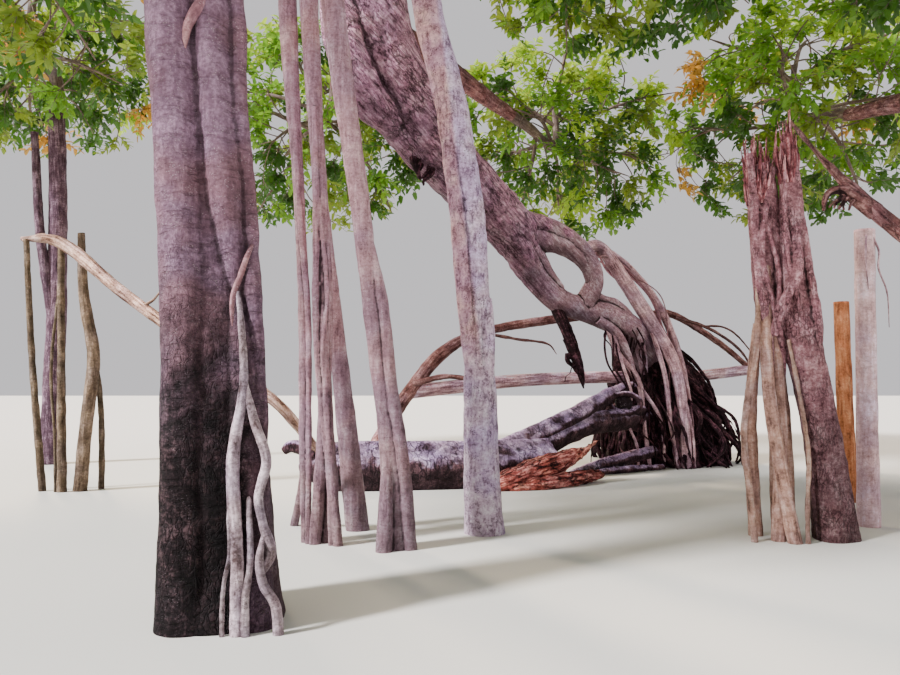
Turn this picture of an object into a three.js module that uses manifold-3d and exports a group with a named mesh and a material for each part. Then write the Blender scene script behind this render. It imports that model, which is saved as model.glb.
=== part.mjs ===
// Banyan tree: a leaning front trunk and its prop roots, a great limb that sweeps down into a ring
// of fused roots over the overturned old trunk, and the crown that these supports carry.
// The origin is the middle of the front trunk's flat cut at ground level, with +Z up,
// +X to the right and +Y away from the side that the tree is usually seen from.
import * as THREE from "three";
import { mergeVertices } from "three/addons/utils/BufferGeometryUtils.js";
import Module from "manifold-3d";

const wasm = await Module();
wasm.setup();

// Driving sizes. Places and radii of limbs are in metres, [x, y, z, radius], and METRE scales them.
const METRE = 1000;
const GAP = 0.4;
const DEPTH_OF_CUT = 4;
const GROUND_SPAN = 80;
const BELOW = -0.3;
const FORK = [-0.4, 0.1, 6.4];
const TRUNK_RADIUS = 0.31;
const TRUNK_FOOT_RADIUS = 0.42;
const LIMB_RADIUS = 0.6;
const LIMB_TOP = [0.15, 5.9, 9.7];
const RING_JOINT = [4.25, 9.5, 3.2];
const PROP_BOUGH = [0.05, 2.4, 7.35];
const PLATE_RADIUS = 1.1;
const LOG_RADIUS = 0.41;

// Foliage: lengths are in metres, and shares are of the stem, the twig or the leaf that they belong to
const STEM_TAPER = [0.95, 0.85, 0.7, 0.5];
const STEM_RISE = 0.45;
const TWIGS_PER_MASS = 11;
const TWIG_REACH = 0.97;
const LOWEST_TWIG = 0.3;
const HIGHEST_TWIG = 0.98;
const TWIG_RADIUS = 0.055;
const NECK_RADIUS = 0.022;
const LEAF_LENGTH = 1.6;
const LEAF_WIDTH = 1.1;
const LEAF_THICKNESS = 0.045;
const LEAF_SIZES = [0.85, 1.15];
const SIDE_LEAF = 0.85;
const SIDE_LEAVES = [{ places: [0.92, 0.77], swing: 1 }, { places: [0.66, 0.51], swing: -1 }];
const LEAF_SPREADS = [0.8, 1.4];
const LEAF_TILT = Math.PI / 6;
const LEAF_TRIES = 8;
const LEAF_ROOT_VOLUME = 20000;
const UPRIGHT = new THREE.Vector3(0.12, 0.07, 1).normalize();
const GOLDEN_ANGLE = Math.PI * (3 - Math.sqrt(5));
const FIRST_SEED = 11;
const SEED_STEP = 7;

// Forms of limb: how many sides and rings, and the lobes that flute it
const STOUT = { sides: 12, rings: 8, lobes: 4, lobeDepth: 0.05 };
const STEM = { sides: 7, rings: 5 };
const BOUGH = { sides: 6, rings: 4 };
const ROOT = { sides: 5, rings: 3 };
const STRAND = { sides: 4, rings: 3 };
const MASS_STEM = { sides: 5, rings: 8 };

// Colours of the bark, the wood and the foliage
const BARK_TRUNK = "#6f5c66";
const BARK_PROP = "#a48f95";
const BARK_MOTTLED = "#a89ba0";
const BARK_LIMB = "#6a4f58";
const ROOT_PALE = "#b29a95";
const ROOT_DARK = "#3b2c2e";
const BARK_FALLEN = "#574650";
const WOOD_ROTTEN = "#a4643c";
const WOOD_PALE = "#c4b4a4";
const BARK_BROKEN = "#7a5460";
const WOOD_SAWN = "#b99a86";
const FOLIAGE = "#5f8b2a";
const BARK_ROUGHNESS = 0.85;
const LEAF_ROUGHNESS = 0.7;

const tree = new THREE.Group();
const placed = [];

// A closed solid of a geometry, with its shared points merged and its flat slivers dropped
function solidOf(geometry) {
  const corners = mergeVertices(bare(geometry));
  const faces = [];
  for (let i = 0; i < corners.index.count; i += 3) {
    const [a, b, c] = [0, 1, 2].map((k) => corners.index.getX(i + k));
    if (a !== b && b !== c && c !== a) faces.push(a, b, c);
  }
  return new wasm.Manifold(new wasm.Mesh({
    numProp: 3,
    vertProperties: new Float32Array(corners.attributes.position.array),
    triVerts: new Uint32Array(faces),
  }));
}

function bare(geometry) {
  geometry.deleteAttribute("normal");
  geometry.deleteAttribute("uv");
  return geometry;
}

function vector([x, y, z]) {
  return new THREE.Vector3(x, y, z).multiplyScalar(METRE);
}

// A limb's shape: a lathe profile whose rings are set square to a smooth curve through its stations.
// Lobes flute it like the fused roots that a banyan stem is made of.
function limbShape(stations, { sides = 7, rings = 6, lobes = 0, lobeDepth = 0 }, grow) {
  const curve = new THREE.CatmullRomCurve3(stations.map(vector), false, "centripetal");
  const frames = curve.computeFrenetFrames(rings);
  const last = stations.length - 1;
  const profile = [new THREE.Vector2(0, 0)];
  for (let ring = 0; ring <= rings; ring += 1) {
    const along = curve.getUtoTmapping(ring / rings) * last;
    const lower = Math.min(Math.floor(along), last - 1);
    const radius = THREE.MathUtils.lerp(stations[lower][3], stations[lower + 1][3], along - lower);
    profile.push(new THREE.Vector2(METRE * radius + grow, ring));
  }
  profile.push(new THREE.Vector2(0, rings));
  const shape = mergeVertices(bare(new THREE.LatheGeometry(profile, sides)));
  const corners = shape.attributes.position;
  for (let i = 0; i < corners.count; i += 1) {
    const ring = Math.round(corners.getY(i));
    const angle = Math.atan2(corners.getX(i), corners.getZ(i));
    const flute = 1 + lobeDepth * Math.cos(lobes * angle);
    const end = ring === 0 ? -grow : ring === rings ? grow : 0;
    const spot = curve.getPointAt(ring / rings);
    spot.addScaledVector(frames.normals[ring], corners.getZ(i) * flute);
    spot.addScaledVector(frames.binormals[ring], corners.getX(i) * flute);
    spot.addScaledVector(frames.tangents[ring], end);
    corners.setXYZ(i, spot.x, spot.y, spot.z);
  }
  return { shape, curve };
}

// A limb is its solid, the slightly larger solid that its neighbours are cut by, and its tip
function limb(stations, form = {}) {
  const { shape, curve } = limbShape(stations, form, 0);
  return {
    solid: solidOf(shape),
    cutter: solidOf(limbShape(stations, form, GAP).shape),
    tip: { point: curve.getPointAt(1), way: curve.getTangentAt(1), radius: stations.at(-1)[3] * METRE },
  };
}

function largest(solid) {
  return solid.decompose().sort((a, b) => b.volume() - a.volume())[0];
}

const soil = solidOf(new THREE.BoxGeometry(GROUND_SPAN, GROUND_SPAN, DEPTH_OF_CUT)
  .translate(0, 0, -DEPTH_OF_CUT / 2).scale(METRE, METRE, METRE));

function boxesMeet(a, b) {
  const [p, q] = [a.boundingBox(), b.boundingBox()];
  return [0, 1, 2].every((k) => p.min[k] < q.max[k] + GAP && q.min[k] < p.max[k] + GAP);
}

function addMesh(name, solid, colour, roughness) {
  const mesh = solid.getMesh();
  const geometry = new THREE.BufferGeometry();
  geometry.setAttribute("position", new THREE.BufferAttribute(mesh.vertProperties, 3));
  geometry.setIndex(new THREE.BufferAttribute(mesh.triVerts, 1));
  const material = new THREE.MeshStandardMaterial({ color: colour, roughness, metalness: 0 });
  const node = new THREE.Mesh(geometry, material);
  node.name = name;
  tree.add(node);
}

// Adds a limb, or several that have grown into one, cut flat at the ground and clear of what stands already
function addLimb(name, colour, ...limbs) {
  let solid = wasm.Manifold.union(limbs.map((each) => each.solid)).subtract(soil);
  for (const other of placed) {
    if (boxesMeet(solid, other.cutter)) solid = solid.subtract(other.cutter);
  }
  solid = largest(solid);
  placed.push({ solid, cutter: wasm.Manifold.union(limbs.map((each) => each.cutter)) });
  addMesh(name, solid, colour, BARK_ROUGHNESS);
  return limbs[0].tip;
}

// Front trunk: leans left, flares at the foot, and carries roots that creep down its bark
const trunkTip = addLimb("trunk", BARK_TRUNK, limb([
  [0.05, 0, BELOW, TRUNK_FOOT_RADIUS + 0.04],
  [0.02, 0, 0.25, TRUNK_FOOT_RADIUS - 0.02],
  [-0.05, 0, 1.3, 0.355],
  [-0.15, 0, 2.8, TRUNK_RADIUS],
  [-0.32, 0, 4.5, TRUNK_RADIUS],
  [...FORK, TRUNK_RADIUS],
  [-0.42, -0.7, 8.2, 0.2],
], STOUT));

// Boughs of the front trunk
const frontLeftTip = addLimb("bough_front_left", BARK_PROP, limb([
  [...FORK, 0.24], [-1.5, -0.4, 7.3, 0.19], [-2.9, -1.1, 8.1, 0.13],
], BOUGH));
const frontRightTip = addLimb("bough_front_right", BARK_PROP, limb([
  [...FORK, 0.22], [0.8, -0.6, 7.3, 0.18], [2.3, -1.4, 8.2, 0.12],
], BOUGH));
const leftTip = addLimb("bough_left", BARK_PROP, limb([
  [-0.35, 0.1, 5.9, 0.24], [-1.9, 1.5, 6.9, 0.2], [-3.6, 3.2, 7.9, 0.13],
], BOUGH));
const overPropsTip = addLimb("bough_over_props", BARK_PROP, limb([
  [-0.38, 0.1, 6.1, 0.26], [-0.2, 1.4, 7.05, 0.27], [...PROP_BOUGH, 0.28],
  [1.25, 3.0, 7.85, 0.24], [2.9, 2.9, 8.9, 0.14],
], STEM));
const riserTip = addLimb("bough_riser", BARK_PROP, limb([
  [...PROP_BOUGH, 0.16], [0.15, 2.5, 8.4, 0.14], [0.2, 2.5, 9.4, 0.1],
], BOUGH));

// Great limb: comes down from high on the left and ends in the ring of fused roots
const limbTip = addLimb("great_limb", BARK_LIMB, limb([
  [3.3, 8.85, 4.3, 0.32],
  [2.95, 8.5, 4.5, 0.52],
  [2.3, 7.9, 4.98, 0.51],
  [1.55, 7.25, 5.55, 0.54],
  [0.85, 6.65, 6.3, LIMB_RADIUS],
  [0.4, 6.25, 7.3, LIMB_RADIUS + 0.03],
  [0.2, 6.0, 8.6, LIMB_RADIUS],
  [...LIMB_TOP, 0.42],
], { sides: 12, rings: 8, lobes: 3, lobeDepth: 0.04 }));
const limbRightTip = addLimb("bough_limb_right", BARK_LIMB, limb([
  [0.25, 6.0, 8.5, 0.26], [1.6, 6.4, 9.1, 0.22], [2.8, 6.8, 9.7, 0.15],
], BOUGH));
const rearLeftTip = addLimb("bough_rear_left", BARK_LIMB, limb([
  [0.2, 6.1, 8.3, 0.28], [-0.3, 8.4, 8.6, 0.22], [-0.9, 10.5, 8.3, 0.14],
], BOUGH));
const rearRightTip = addLimb("bough_rear_right", BARK_LIMB, limb([
  [0.35, 6.3, 7.6, 0.28], [1.5, 8.7, 7.9, 0.22], [3.0, 10.9, 7.8, 0.14],
], BOUGH));

// Foot of the ring, and the two arms that close it round a hole
addLimb("ring_foot", ROOT_PALE, limb([
  [4.1, 9.45, 3.22, 0.21], [4.7, 9.6, 3.15, 0.24], [5.45, 9.9, 2.75, 0.32], [5.75, 10.4, 2.3, 0.36],
], STEM));
addLimb("ring_lower_arm", ROOT_PALE, limb([
  [2.75, 8.45, 4.5, 0.3], [3.2, 8.9, 3.77, 0.22], [3.8, 9.25, 3.25, 0.19], [...RING_JOINT, 0.19],
], { sides: 7, rings: 5 }));
addLimb("ring_upper_arm", ROOT_PALE, limb([
  [3.0, 8.6, 4.55, 0.24], [3.65, 8.9, 4.72, 0.18], [4.3, 9.15, 4.35, 0.16],
  [4.52, 9.3, 3.8, 0.16], [...RING_JOINT, 0.17],
], { sides: 7, rings: 7 }));
addLimb("hanging_stub", ROOT_DARK, limb([
  [3.7, 9.2, 3.3, 0.13], [4.03, 9.2, 2.5, 0.11], [4.25, 9.2, 1.65, 0.05],
], ROOT));

// Roots that arch down from the ring to the ground
addLimb("arch_root_main", ROOT_PALE, limb([
  [4.42, 9.3, 4.15, 0.1], [4.65, 9.65, 4.55, 0.11], [5.2, 9.7, 3.85, 0.135], [5.8, 9.7, 2.85, 0.14],
  [6.2, 9.7, 2.1, 0.12], [6.4, 9.8, 0.9, 0.11], [6.45, 9.85, BELOW, 0.12],
], { sides: 6, rings: 8 }), limb([
  [5.75, 9.65, 2.75, 0.05], [5.97, 9.6, 1.9, 0.05], [6.1, 9.7, 0.9, 0.05], [6.38, 9.85, BELOW, 0.05],
], ROOT));
addLimb("arch_root_outer", ROOT_PALE, limb([
  [4.75, 9.75, 4.5, 0.06], [5.25, 10, 4.3, 0.06], [6.0, 10.1, 3.4, 0.085], [6.4, 10.1, 2.4, 0.075],
  [6.6, 10.1, 1.4, 0.055], [6.72, 10.1, BELOW, 0.05],
], { sides: 5, rings: 7 }));
addLimb("arch_root_inner", ROOT_PALE, limb([
  [4.75, 9.5, 3.0, 0.06], [5.0, 9.5, 2.35, 0.06], [5.4, 9.5, 1.8, 0.06], [5.52, 9.6, 1.0, 0.045],
  [5.7, 9.7, BELOW, 0.04],
], { sides: 5, rings: 6 }), limb([
  [5.45, 9.5, 1.65, 0.04], [5.88, 9.6, 0.95, 0.035], [5.95, 9.8, BELOW, 0.035],
], ROOT));

// Old trunk: overturned, with its plate of roots standing up and its fork lying towards the front
addLimb("root_plate", ROOT_DARK, limb([
  [5.6, 10.45, 2.85, 0.35], [6.0, 10.9, 1.9, 0.8], [6.4, 11.2, 0.9, PLATE_RADIUS],
  [6.35, 11.1, BELOW, PLATE_RADIUS + 0.3],
], { sides: 15, rings: 3, lobes: 5, lobeDepth: 0.14 }));
addLimb("fallen_log", BARK_FALLEN, limb([
  [-0.75, 6.5, 0.4, 0.15], [-0.3, 6.5, 0.38, 0.36], [0.9, 6.7, 0.34, LOG_RADIUS],
  [2.1, 7.0, 0.32, LOG_RADIUS], [3.3, 7.6, 0.36, 0.38],
], { sides: 9, rings: 6 }));
addLimb("fallen_fork_upper", BARK_FALLEN, limb([
  [2.4, 7.2, 0.5, 0.22], [3.4, 7.9, 0.88, 0.22], [4.2, 8.6, 1.22, 0.19], [4.8, 9.2, 1.45, 0.17],
  [5.75, 10.5, 1.5, 0.22],
], STEM));
addLimb("fallen_fork_lower", BARK_FALLEN, limb([
  [3.1, 7.6, 0.6, 0.23], [4.05, 8.4, 0.92, 0.2], [4.85, 9.1, 1.02, 0.22], [5.8, 10.3, 1.0, 0.3],
], BOUGH));
addLimb("fallen_low_limb", BARK_FALLEN, limb([
  [3.8, 8.3, 0.05, 0.06], [4.3, 8.7, 0.14, 0.1], [5.3, 9.35, 0.3, 0.12], [6.1, 10.2, 0.35, 0.12],
], ROOT));
addLimb("rotten_slab", WOOD_ROTTEN, limb([
  [2.35, 6.45, 0.15, 0.16], [2.9, 6.75, 0.28, 0.24], [3.5, 7.2, 0.42, 0.22], [4.0, 7.6, 0.56, 0.08],
], { sides: 7, rings: 4, lobes: 2, lobeDepth: 0.25 }));

// Thin arching limb and straight pale pole that run through the roots behind
addLimb("arched_root_left", BARK_PROP, limb([
  [0.35, 7.0, 0.6, 0.12], [0.8, 8.9, 1.5, 0.13], [1.45, 9.1, 2.3, 0.13], [2.1, 9.2, 2.68, 0.09],
  [3.45, 9.8, 3.0, 0.095], [4.7, 9.9, 3.15, 0.08],
], { sides: 6, rings: 7 }));
addLimb("arched_root_right", BARK_PROP, limb([
  [5.6, 10.4, 2.9, 0.1], [6.3, 10.8, 3.3, 0.08], [7.4, 10.9, 2.75, 0.07], [8.35, 11.1, 2.05, 0.055],
], { sides: 5, rings: 5 }));
addLimb("pale_pole_left", WOOD_PALE, limb([
  [0.8, 9.0, 1.55, 0.14], [3.0, 9.75, 1.78, 0.13], [5.9, 10.8, 1.9, 0.12],
], { sides: 7, rings: 2 }));
addLimb("pale_pole_right", WOOD_PALE, limb([
  [6.4, 10.85, 1.82, 0.12], [8.35, 11.1, 2.05, 0.115],
], { sides: 7, rings: 1 }));

// Prop stems just behind the front trunk, hung from the bough that runs over them
addLimb("prop_stem_middle", BARK_PROP, limb([
  [0.02, 2.45, 7.3, 0.1], [0.1, 2.5, 5.4, 0.1], [0.2, 2.5, 4.0, 0.075], [0.28, 2.5, 2.8, 0.085],
  [0.31, 2.45, 1.5, 0.066], [0.22, 2.4, BELOW, 0.065],
], { sides: 7, rings: 7 }), limb([
  [0.26, 2.46, 2.35, 0.05], [0.35, 2.36, 1.45, 0.042], [0.52, 2.3, BELOW, 0.05],
], ROOT), limb([
  [0.3, 2.52, 1.5, 0.05], [0.33, 2.55, 1.1, 0.066], [0.36, 2.5, BELOW, 0.08],
], ROOT));
addLimb("prop_stem_left", BARK_PROP, limb([
  [-0.2, 2.5, 7.2, 0.11], [-0.16, 2.55, 5.6, 0.1], [-0.02, 2.55, 3.8, 0.06], [0.07, 2.55, 2.1, 0.062],
  [0.09, 2.5, 1.0, 0.05], [0.13, 2.5, BELOW, 0.045],
], { sides: 6, rings: 7 }), limb([
  [0.1, 2.52, 1.2, 0.04], [0, 2.95, 0.6, 0.043], [-0.3, 3.7, BELOW, 0.05],
], ROOT));
addLimb("prop_stem_broad", BARK_PROP, limb([
  [0.18, 2.6, 4.4, 0.06], [0.2, 2.78, 3.65, 0.07], [0.35, 2.95, 2.2, 0.09], [0.47, 3.1, 1.0, 0.118],
  [0.61, 3.2, BELOW, 0.14],
], { sides: 7, rings: 5 }));
addLimb("leaning_stem", BARK_PROP, limb([
  [0.22, 2.15, 7.3, 0.13], [0.45, 2.1, 5.2, 0.12], [0.72, 2.1, 3.35, 0.105], [0.9, 2.15, 2.05, 0.1],
  [1.05, 2.2, 1.15, 0.135], [1.15, 2.2, BELOW, 0.16],
], { sides: 8, rings: 6 }));
addLimb("mottled_stem", BARK_MOTTLED, limb([
  [1.25, 3.0, 7.8, 0.16], [1.34, 3.0, 6.1, 0.17], [1.55, 3.0, 5.1, 0.195], [1.78, 3.0, 3.8, 0.188],
  [1.9, 3.0, 2.2, 0.19], [1.97, 3.0, 0.9, 0.21], [2.02, 3.0, BELOW, 0.23],
], { sides: 9, rings: 6, lobes: 3, lobeDepth: 0.05 }), limb([
  [1.62, 2.92, 4.6, 0.07], [1.68, 2.8, 3.5, 0.07], [1.78, 2.8, 2.7, 0.065], [1.88, 2.92, 1.7, 0.08],
], ROOT));

// Roots that creep down the front trunk's bark, cut to lie against it
addLimb("trunk_rib_root", BARK_TRUNK, limb([
  [-0.2, -0.1, 5.3, 0.1], [-0.03, -0.25, 4.35, 0.1], [0.05, -0.27, 3.3, 0.09], [0.17, -0.27, 2.6, 0.055],
  [0.19, -0.24, 2.35, 0.03],
], ROOT));
addLimb("trunk_side_root", BARK_TRUNK, limb([
  [-0.1, -0.1, 5.2, 0.07], [0.08, -0.17, 4.35, 0.07], [0.19, -0.18, 3.3, 0.06], [0.27, -0.19, 2.3, 0.05],
  [0.33, -0.2, 1.5, 0.03],
], ROOT));
addLimb("trunk_creeping_roots", ROOT_PALE, limb([
  [0.2, -0.25, 2.1, 0.03], [0.24, -0.29, 1.6, 0.034], [0.19, -0.34, 1.1, 0.037], [0.26, -0.37, 0.5, 0.038],
  [0.29, -0.42, BELOW, 0.04],
], { sides: 5, rings: 6 }), limb([
  [0.23, -0.29, 1.55, 0.03], [0.33, -0.3, 1.32, 0.03], [0.4, -0.3, 1.1, 0.03], [0.36, -0.33, 0.85, 0.03],
  [0.45, -0.34, 0.5, 0.03], [0.33, -0.42, BELOW, 0.035],
], { sides: 5, rings: 7 }));

// Broken stem: a leaning stem and a torn column that strands of root hold together
addLimb("broken_stem_leaning", BARK_BROKEN, limb([
  [5.27, 2.55, 4.6, 0.07], [5.31, 2.6, 3.95, 0.102], [5.33, 2.6, 2.9, 0.15], [5.4, 2.6, 2.0, 0.18],
  [5.55, 2.6, 1.1, 0.185], [5.72, 2.65, BELOW, 0.23],
], { sides: 9, rings: 6, lobes: 3, lobeDepth: 0.08 }), limb([
  [5.3, 2.46, 3.3, 0.05], [5.25, 2.36, 2.78, 0.055], [5.1, 2.4, 2.45, 0.05], [5.05, 2.5, 2.15, 0.045],
], ROOT));
addLimb("broken_stem_column", BARK_BROKEN, limb([
  [5.02, 2.7, 4.4, 0.13], [5.06, 2.72, 3.95, 0.17], [5.06, 2.72, 3.0, 0.145], [5.09, 2.72, 1.95, 0.105],
], { sides: 9, rings: 4, lobes: 3, lobeDepth: 0.1 }), ...[
  [[5.0, 2.65, 2.2], [4.96, 2.52, 1.4], [5.15, 2.45, BELOW]],
  [[5.12, 2.7, 2.1], [5.12, 2.62, 1.2], [5.03, 2.6, BELOW]],
  [[5.15, 2.75, 2.1], [5.27, 2.85, 1.3], [5.24, 2.82, BELOW]],
  [[5.0, 2.78, 2.2], [4.92, 2.9, 1.3], [4.94, 2.9, BELOW]],
].map((path) => limb(path.map((spot, k) => [...spot, 0.05 + 0.008 * k]), STRAND)));

// Sawn stems, cut square at the top, and the props and dead bough on the left
addLimb("sawn_stem_tall", WOOD_SAWN, limb([[6.57, 3.4, 3.48, 0.118], [6.47, 3.4, BELOW, 0.124]],
  { sides: 10, rings: 1 }));
addLimb("sawn_stem_short", WOOD_ROTTEN, limb([[7.28, 5.3, 2.85, 0.108], [7.28, 5.3, BELOW, 0.124]],
  { sides: 10, rings: 1 }));
addLimb("left_prop_slim", BARK_PROP, limb([
  [-5.2, 6.4, 4.0, 0.05], [-5.05, 6.4, 2.3, 0.05], [-4.74, 6.4, BELOW, 0.056],
], ROOT));
addLimb("left_prop_thick", BARK_PROP, limb([
  [-4.32, 6.4, 4.1, 0.065], [-4.24, 6.4, 3.1, 0.08], [-4.05, 6.4, 2.1, 0.096], [-4.13, 6.4, 1.0, 0.096],
  [-4.2, 6.4, BELOW, 0.105],
], { sides: 7, rings: 6 }), limb([
  [-4.14, 6.45, 2.6, 0.045], [-4.0, 6.6, 1.3, 0.045], [-3.98, 6.7, BELOW, 0.05],
], ROOT));
addLimb("left_prop_short", BARK_PROP, limb([
  [-4.58, 6.3, 3.85, 0.055], [-4.5, 6.3, 1.9, 0.06], [-4.4, 6.3, BELOW, 0.07],
], ROOT));
addLimb("fallen_bough", WOOD_PALE, limb([
  [-5.3, 6.45, 4.02, 0.05], [-4.65, 6.3, 3.95, 0.09], [-3.4, 6.0, 3.05, 0.09], [-1.9, 5.7, 2.05, 0.085],
  [-0.95, 5.6, 1.4, 0.08], [-0.45, 6.35, 0.62, 0.07],
], { sides: 6, rings: 7 }));

// Stems at the far left and beyond the right edge, which carry the two ends of the crown
const farLeftTip = addLimb("far_left_stem", BARK_PROP, limb([
  [-6.97, 10.8, BELOW, 0.25], [-7.05, 10.8, 3.5, 0.2], [-7.12, 10.8, 5.8, 0.19], [-7.25, 10.8, 8.1, 0.17],
], STEM), limb([
  [-7.06, 10.75, 3.0, 0.12], [-7.35, 10.6, 4.9, 0.1], [-7.62, 10.65, 7.3, 0.08],
], ROOT));
const outerRightTip = addLimb("outer_right_stem", BARK_PROP, limb([
  [8.8, 4.2, BELOW, 0.34], [8.75, 4.2, 1.5, 0.27], [8.7, 4.25, 4.2, 0.24], [8.9, 4.4, 6.8, 0.17],
], STEM));
addLimb("drooping_bough", BARK_LIMB, limb([
  [8.7, 4.2, 2.95, 0.13], [7.9, 3.9, 3.15, 0.11], [7.3, 3.8, 3.52, 0.105], [6.75, 3.8, 4.0, 0.088],
  [6.45, 4.0, 4.5, 0.04], [6.2, 4.4, 5.2, 0.02],
], { sides: 6, rings: 7 }));
const farRightTip = addLimb("bough_far_right", BARK_PROP, limb([
  [8.75, 4.3, 5.2, 0.2], [9.1, 6.2, 6.2, 0.17], [9.2, 8.3, 6.8, 0.12],
], BOUGH));

// Foliage: each mass fills its own space, an ellipsoid, up to where a neighbour's space begins
const masses = [
  { name: "foliage_trunk_top", tip: trunkTip, centre: [-0.3, -2.2, 10.2], semi: [3.0, 3.0, 2.1] },
  { name: "foliage_front_left", tip: frontLeftTip, centre: [-5.4, -1.6, 8.9], semi: [3.9, 3.5, 2.4] },
  { name: "foliage_front_right", tip: frontRightTip, centre: [4.9, -1.9, 9.2], semi: [3.7, 3.3, 2.4] },
  { name: "foliage_left", tip: leftTip, centre: [-6.6, 4.9, 8.7], semi: [4.1, 3.6, 2.5] },
  { name: "foliage_centre", tip: riserTip, centre: [0.1, 2.4, 11.0], semi: [2.9, 2.6, 1.6] },
  { name: "foliage_over_props", tip: overPropsTip, centre: [5.2, 2.9, 10.3], semi: [3.3, 2.9, 2.1] },
  { name: "foliage_limb_top", tip: limbTip, centre: [-1.0, 7.2, 11.0], semi: [3.8, 3.4, 1.7] },
  { name: "foliage_limb_right", tip: limbRightTip, centre: [4.9, 8.0, 10.2], semi: [3.4, 3.4, 2.1] },
  { name: "foliage_rear_left", tip: rearLeftTip, centre: [-1.9, 12.8, 8.2], semi: [3.7, 2.9, 2.7] },
  { name: "foliage_rear_right", tip: rearRightTip, centre: [4.3, 13.0, 7.8], semi: [3.4, 2.8, 2.6] },
  { name: "foliage_far_left", tip: farLeftTip, centre: [-8.0, 11.0, 9.4], semi: [3.4, 3.6, 2.4] },
  { name: "foliage_right", tip: outerRightTip, centre: [9.2, 3.9, 8.8], semi: [3.1, 3.6, 2.4] },
  { name: "foliage_far_right", tip: farRightTip, centre: [9.3, 10.6, 7.7], semi: [3.0, 3.6, 2.5] },
];

// Even chances from a seed, the same on every run: a linear congruential generator of 32 bits
function chances(seed) {
  const [factor, step, span] = [1664525, 1013904223, 2 ** 32];
  let state = seed;
  return () => {
    state = (state * factor + step) % span;
    return state / span;
  };
}

// How far out a point lies in a mass's ellipsoid: 1 is its skin
function outness(mass, spot) {
  return Math.hypot(...mass.centre.map((c, k) => (spot.getComponent(k) / METRE - c) / mass.semi[k]));
}

function inOwnSpace(mass, spot) {
  const own = outness(mass, spot);
  return own <= 1 && masses.every((other) => other === mass || own < outness(other, spot));
}

// The side and the face of a blade that points a given way, lying as flat as its way lets it
function blade(way) {
  const side = new THREE.Vector3().crossVectors(way, UPRIGHT).normalize();
  return { side, face: new THREE.Vector3().crossVectors(side, way).normalize() };
}

// Sets a geometry down with its long axis, +Y, along a way from a spot
function aimed(geometry, spot, way, { side, face }) {
  const frame = new THREE.Matrix4().makeBasis(side, way, face).setPosition(spot);
  return solidOf(mergeVertices(bare(geometry)).applyMatrix4(frame));
}

// A three-sided twig that narrows to the neck of its end leaf and spreads into the leaf's blade
function shoot(root, way, neck, leafLength) {
  const profile = [[0, 0], [TWIG_RADIUS * METRE, 0], [NECK_RADIUS * METRE, neck],
    [LEAF_WIDTH * METRE / Math.sqrt(3), neck + leafLength / 2], [0, neck + leafLength]];
  const lathe = new THREE.LatheGeometry(profile.map(([x, y]) => new THREE.Vector2(x, y)), 3);
  const corners = lathe.attributes.position;
  const flatness = LEAF_THICKNESS / LEAF_WIDTH;
  for (let i = 0; i < corners.count; i += 1) {
    if (corners.getY(i) > neck + GAP) corners.setZ(i, corners.getZ(i) * flatness);
  }
  return aimed(lathe, root, way, blade(way));
}

// A side leaf: eight faces, rooted on its twig's axis
function leaf(root, way, size) {
  const sheet = new THREE.OctahedronGeometry(0.5).translate(0, 0.5, 0);
  sheet.scale(LEAF_WIDTH * size * METRE, LEAF_LENGTH * size * METRE, LEAF_THICKNESS * METRE);
  return aimed(sheet, root, way, blade(way));
}

function clear(solid, neighbours) {
  return neighbours.every((other) => !boxesMeet(solid, other) || solid.intersect(other).isEmpty());
}

function cornersOf(solid) {
  const { vertProperties } = solid.getMesh();
  return [...Array(vertProperties.length / 3).keys()]
    .map((i) => new THREE.Vector3().fromArray(vertProperties, 3 * i));
}

// A mass's stem goes on from its bough's tip, bends to the mass's middle and ends above it
function stemOf({ tip: { point, way, radius }, centre, semi }) {
  const middle = vector(centre);
  const foot = point.clone().addScaledVector(way, GAP);
  const knee = foot.clone().addScaledVector(way, foot.distanceTo(middle) / 3);
  const head = middle.clone().add(new THREE.Vector3(0, 0, semi[2] * METRE * STEM_RISE));
  const stations = [foot, knee, middle, head].map((spot, k) => (
    [...spot.toArray(), radius * STEM_TAPER[k]].map((value) => value / METRE)));
  return limbShape(stations, MASS_STEM, 0);
}

// The point just under a mass's skin that a twig ends at, with rise from -1 at the bottom to 1 at the top
function twigEnd(mass, rise, turn) {
  const level = Math.sqrt(1 - rise * rise);
  return new THREE.Vector3(level * Math.cos(turn), level * Math.sin(turn), rise)
    .multiply(vector(mass.semi)).multiplyScalar(TWIG_REACH).add(vector(mass.centre));
}

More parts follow.
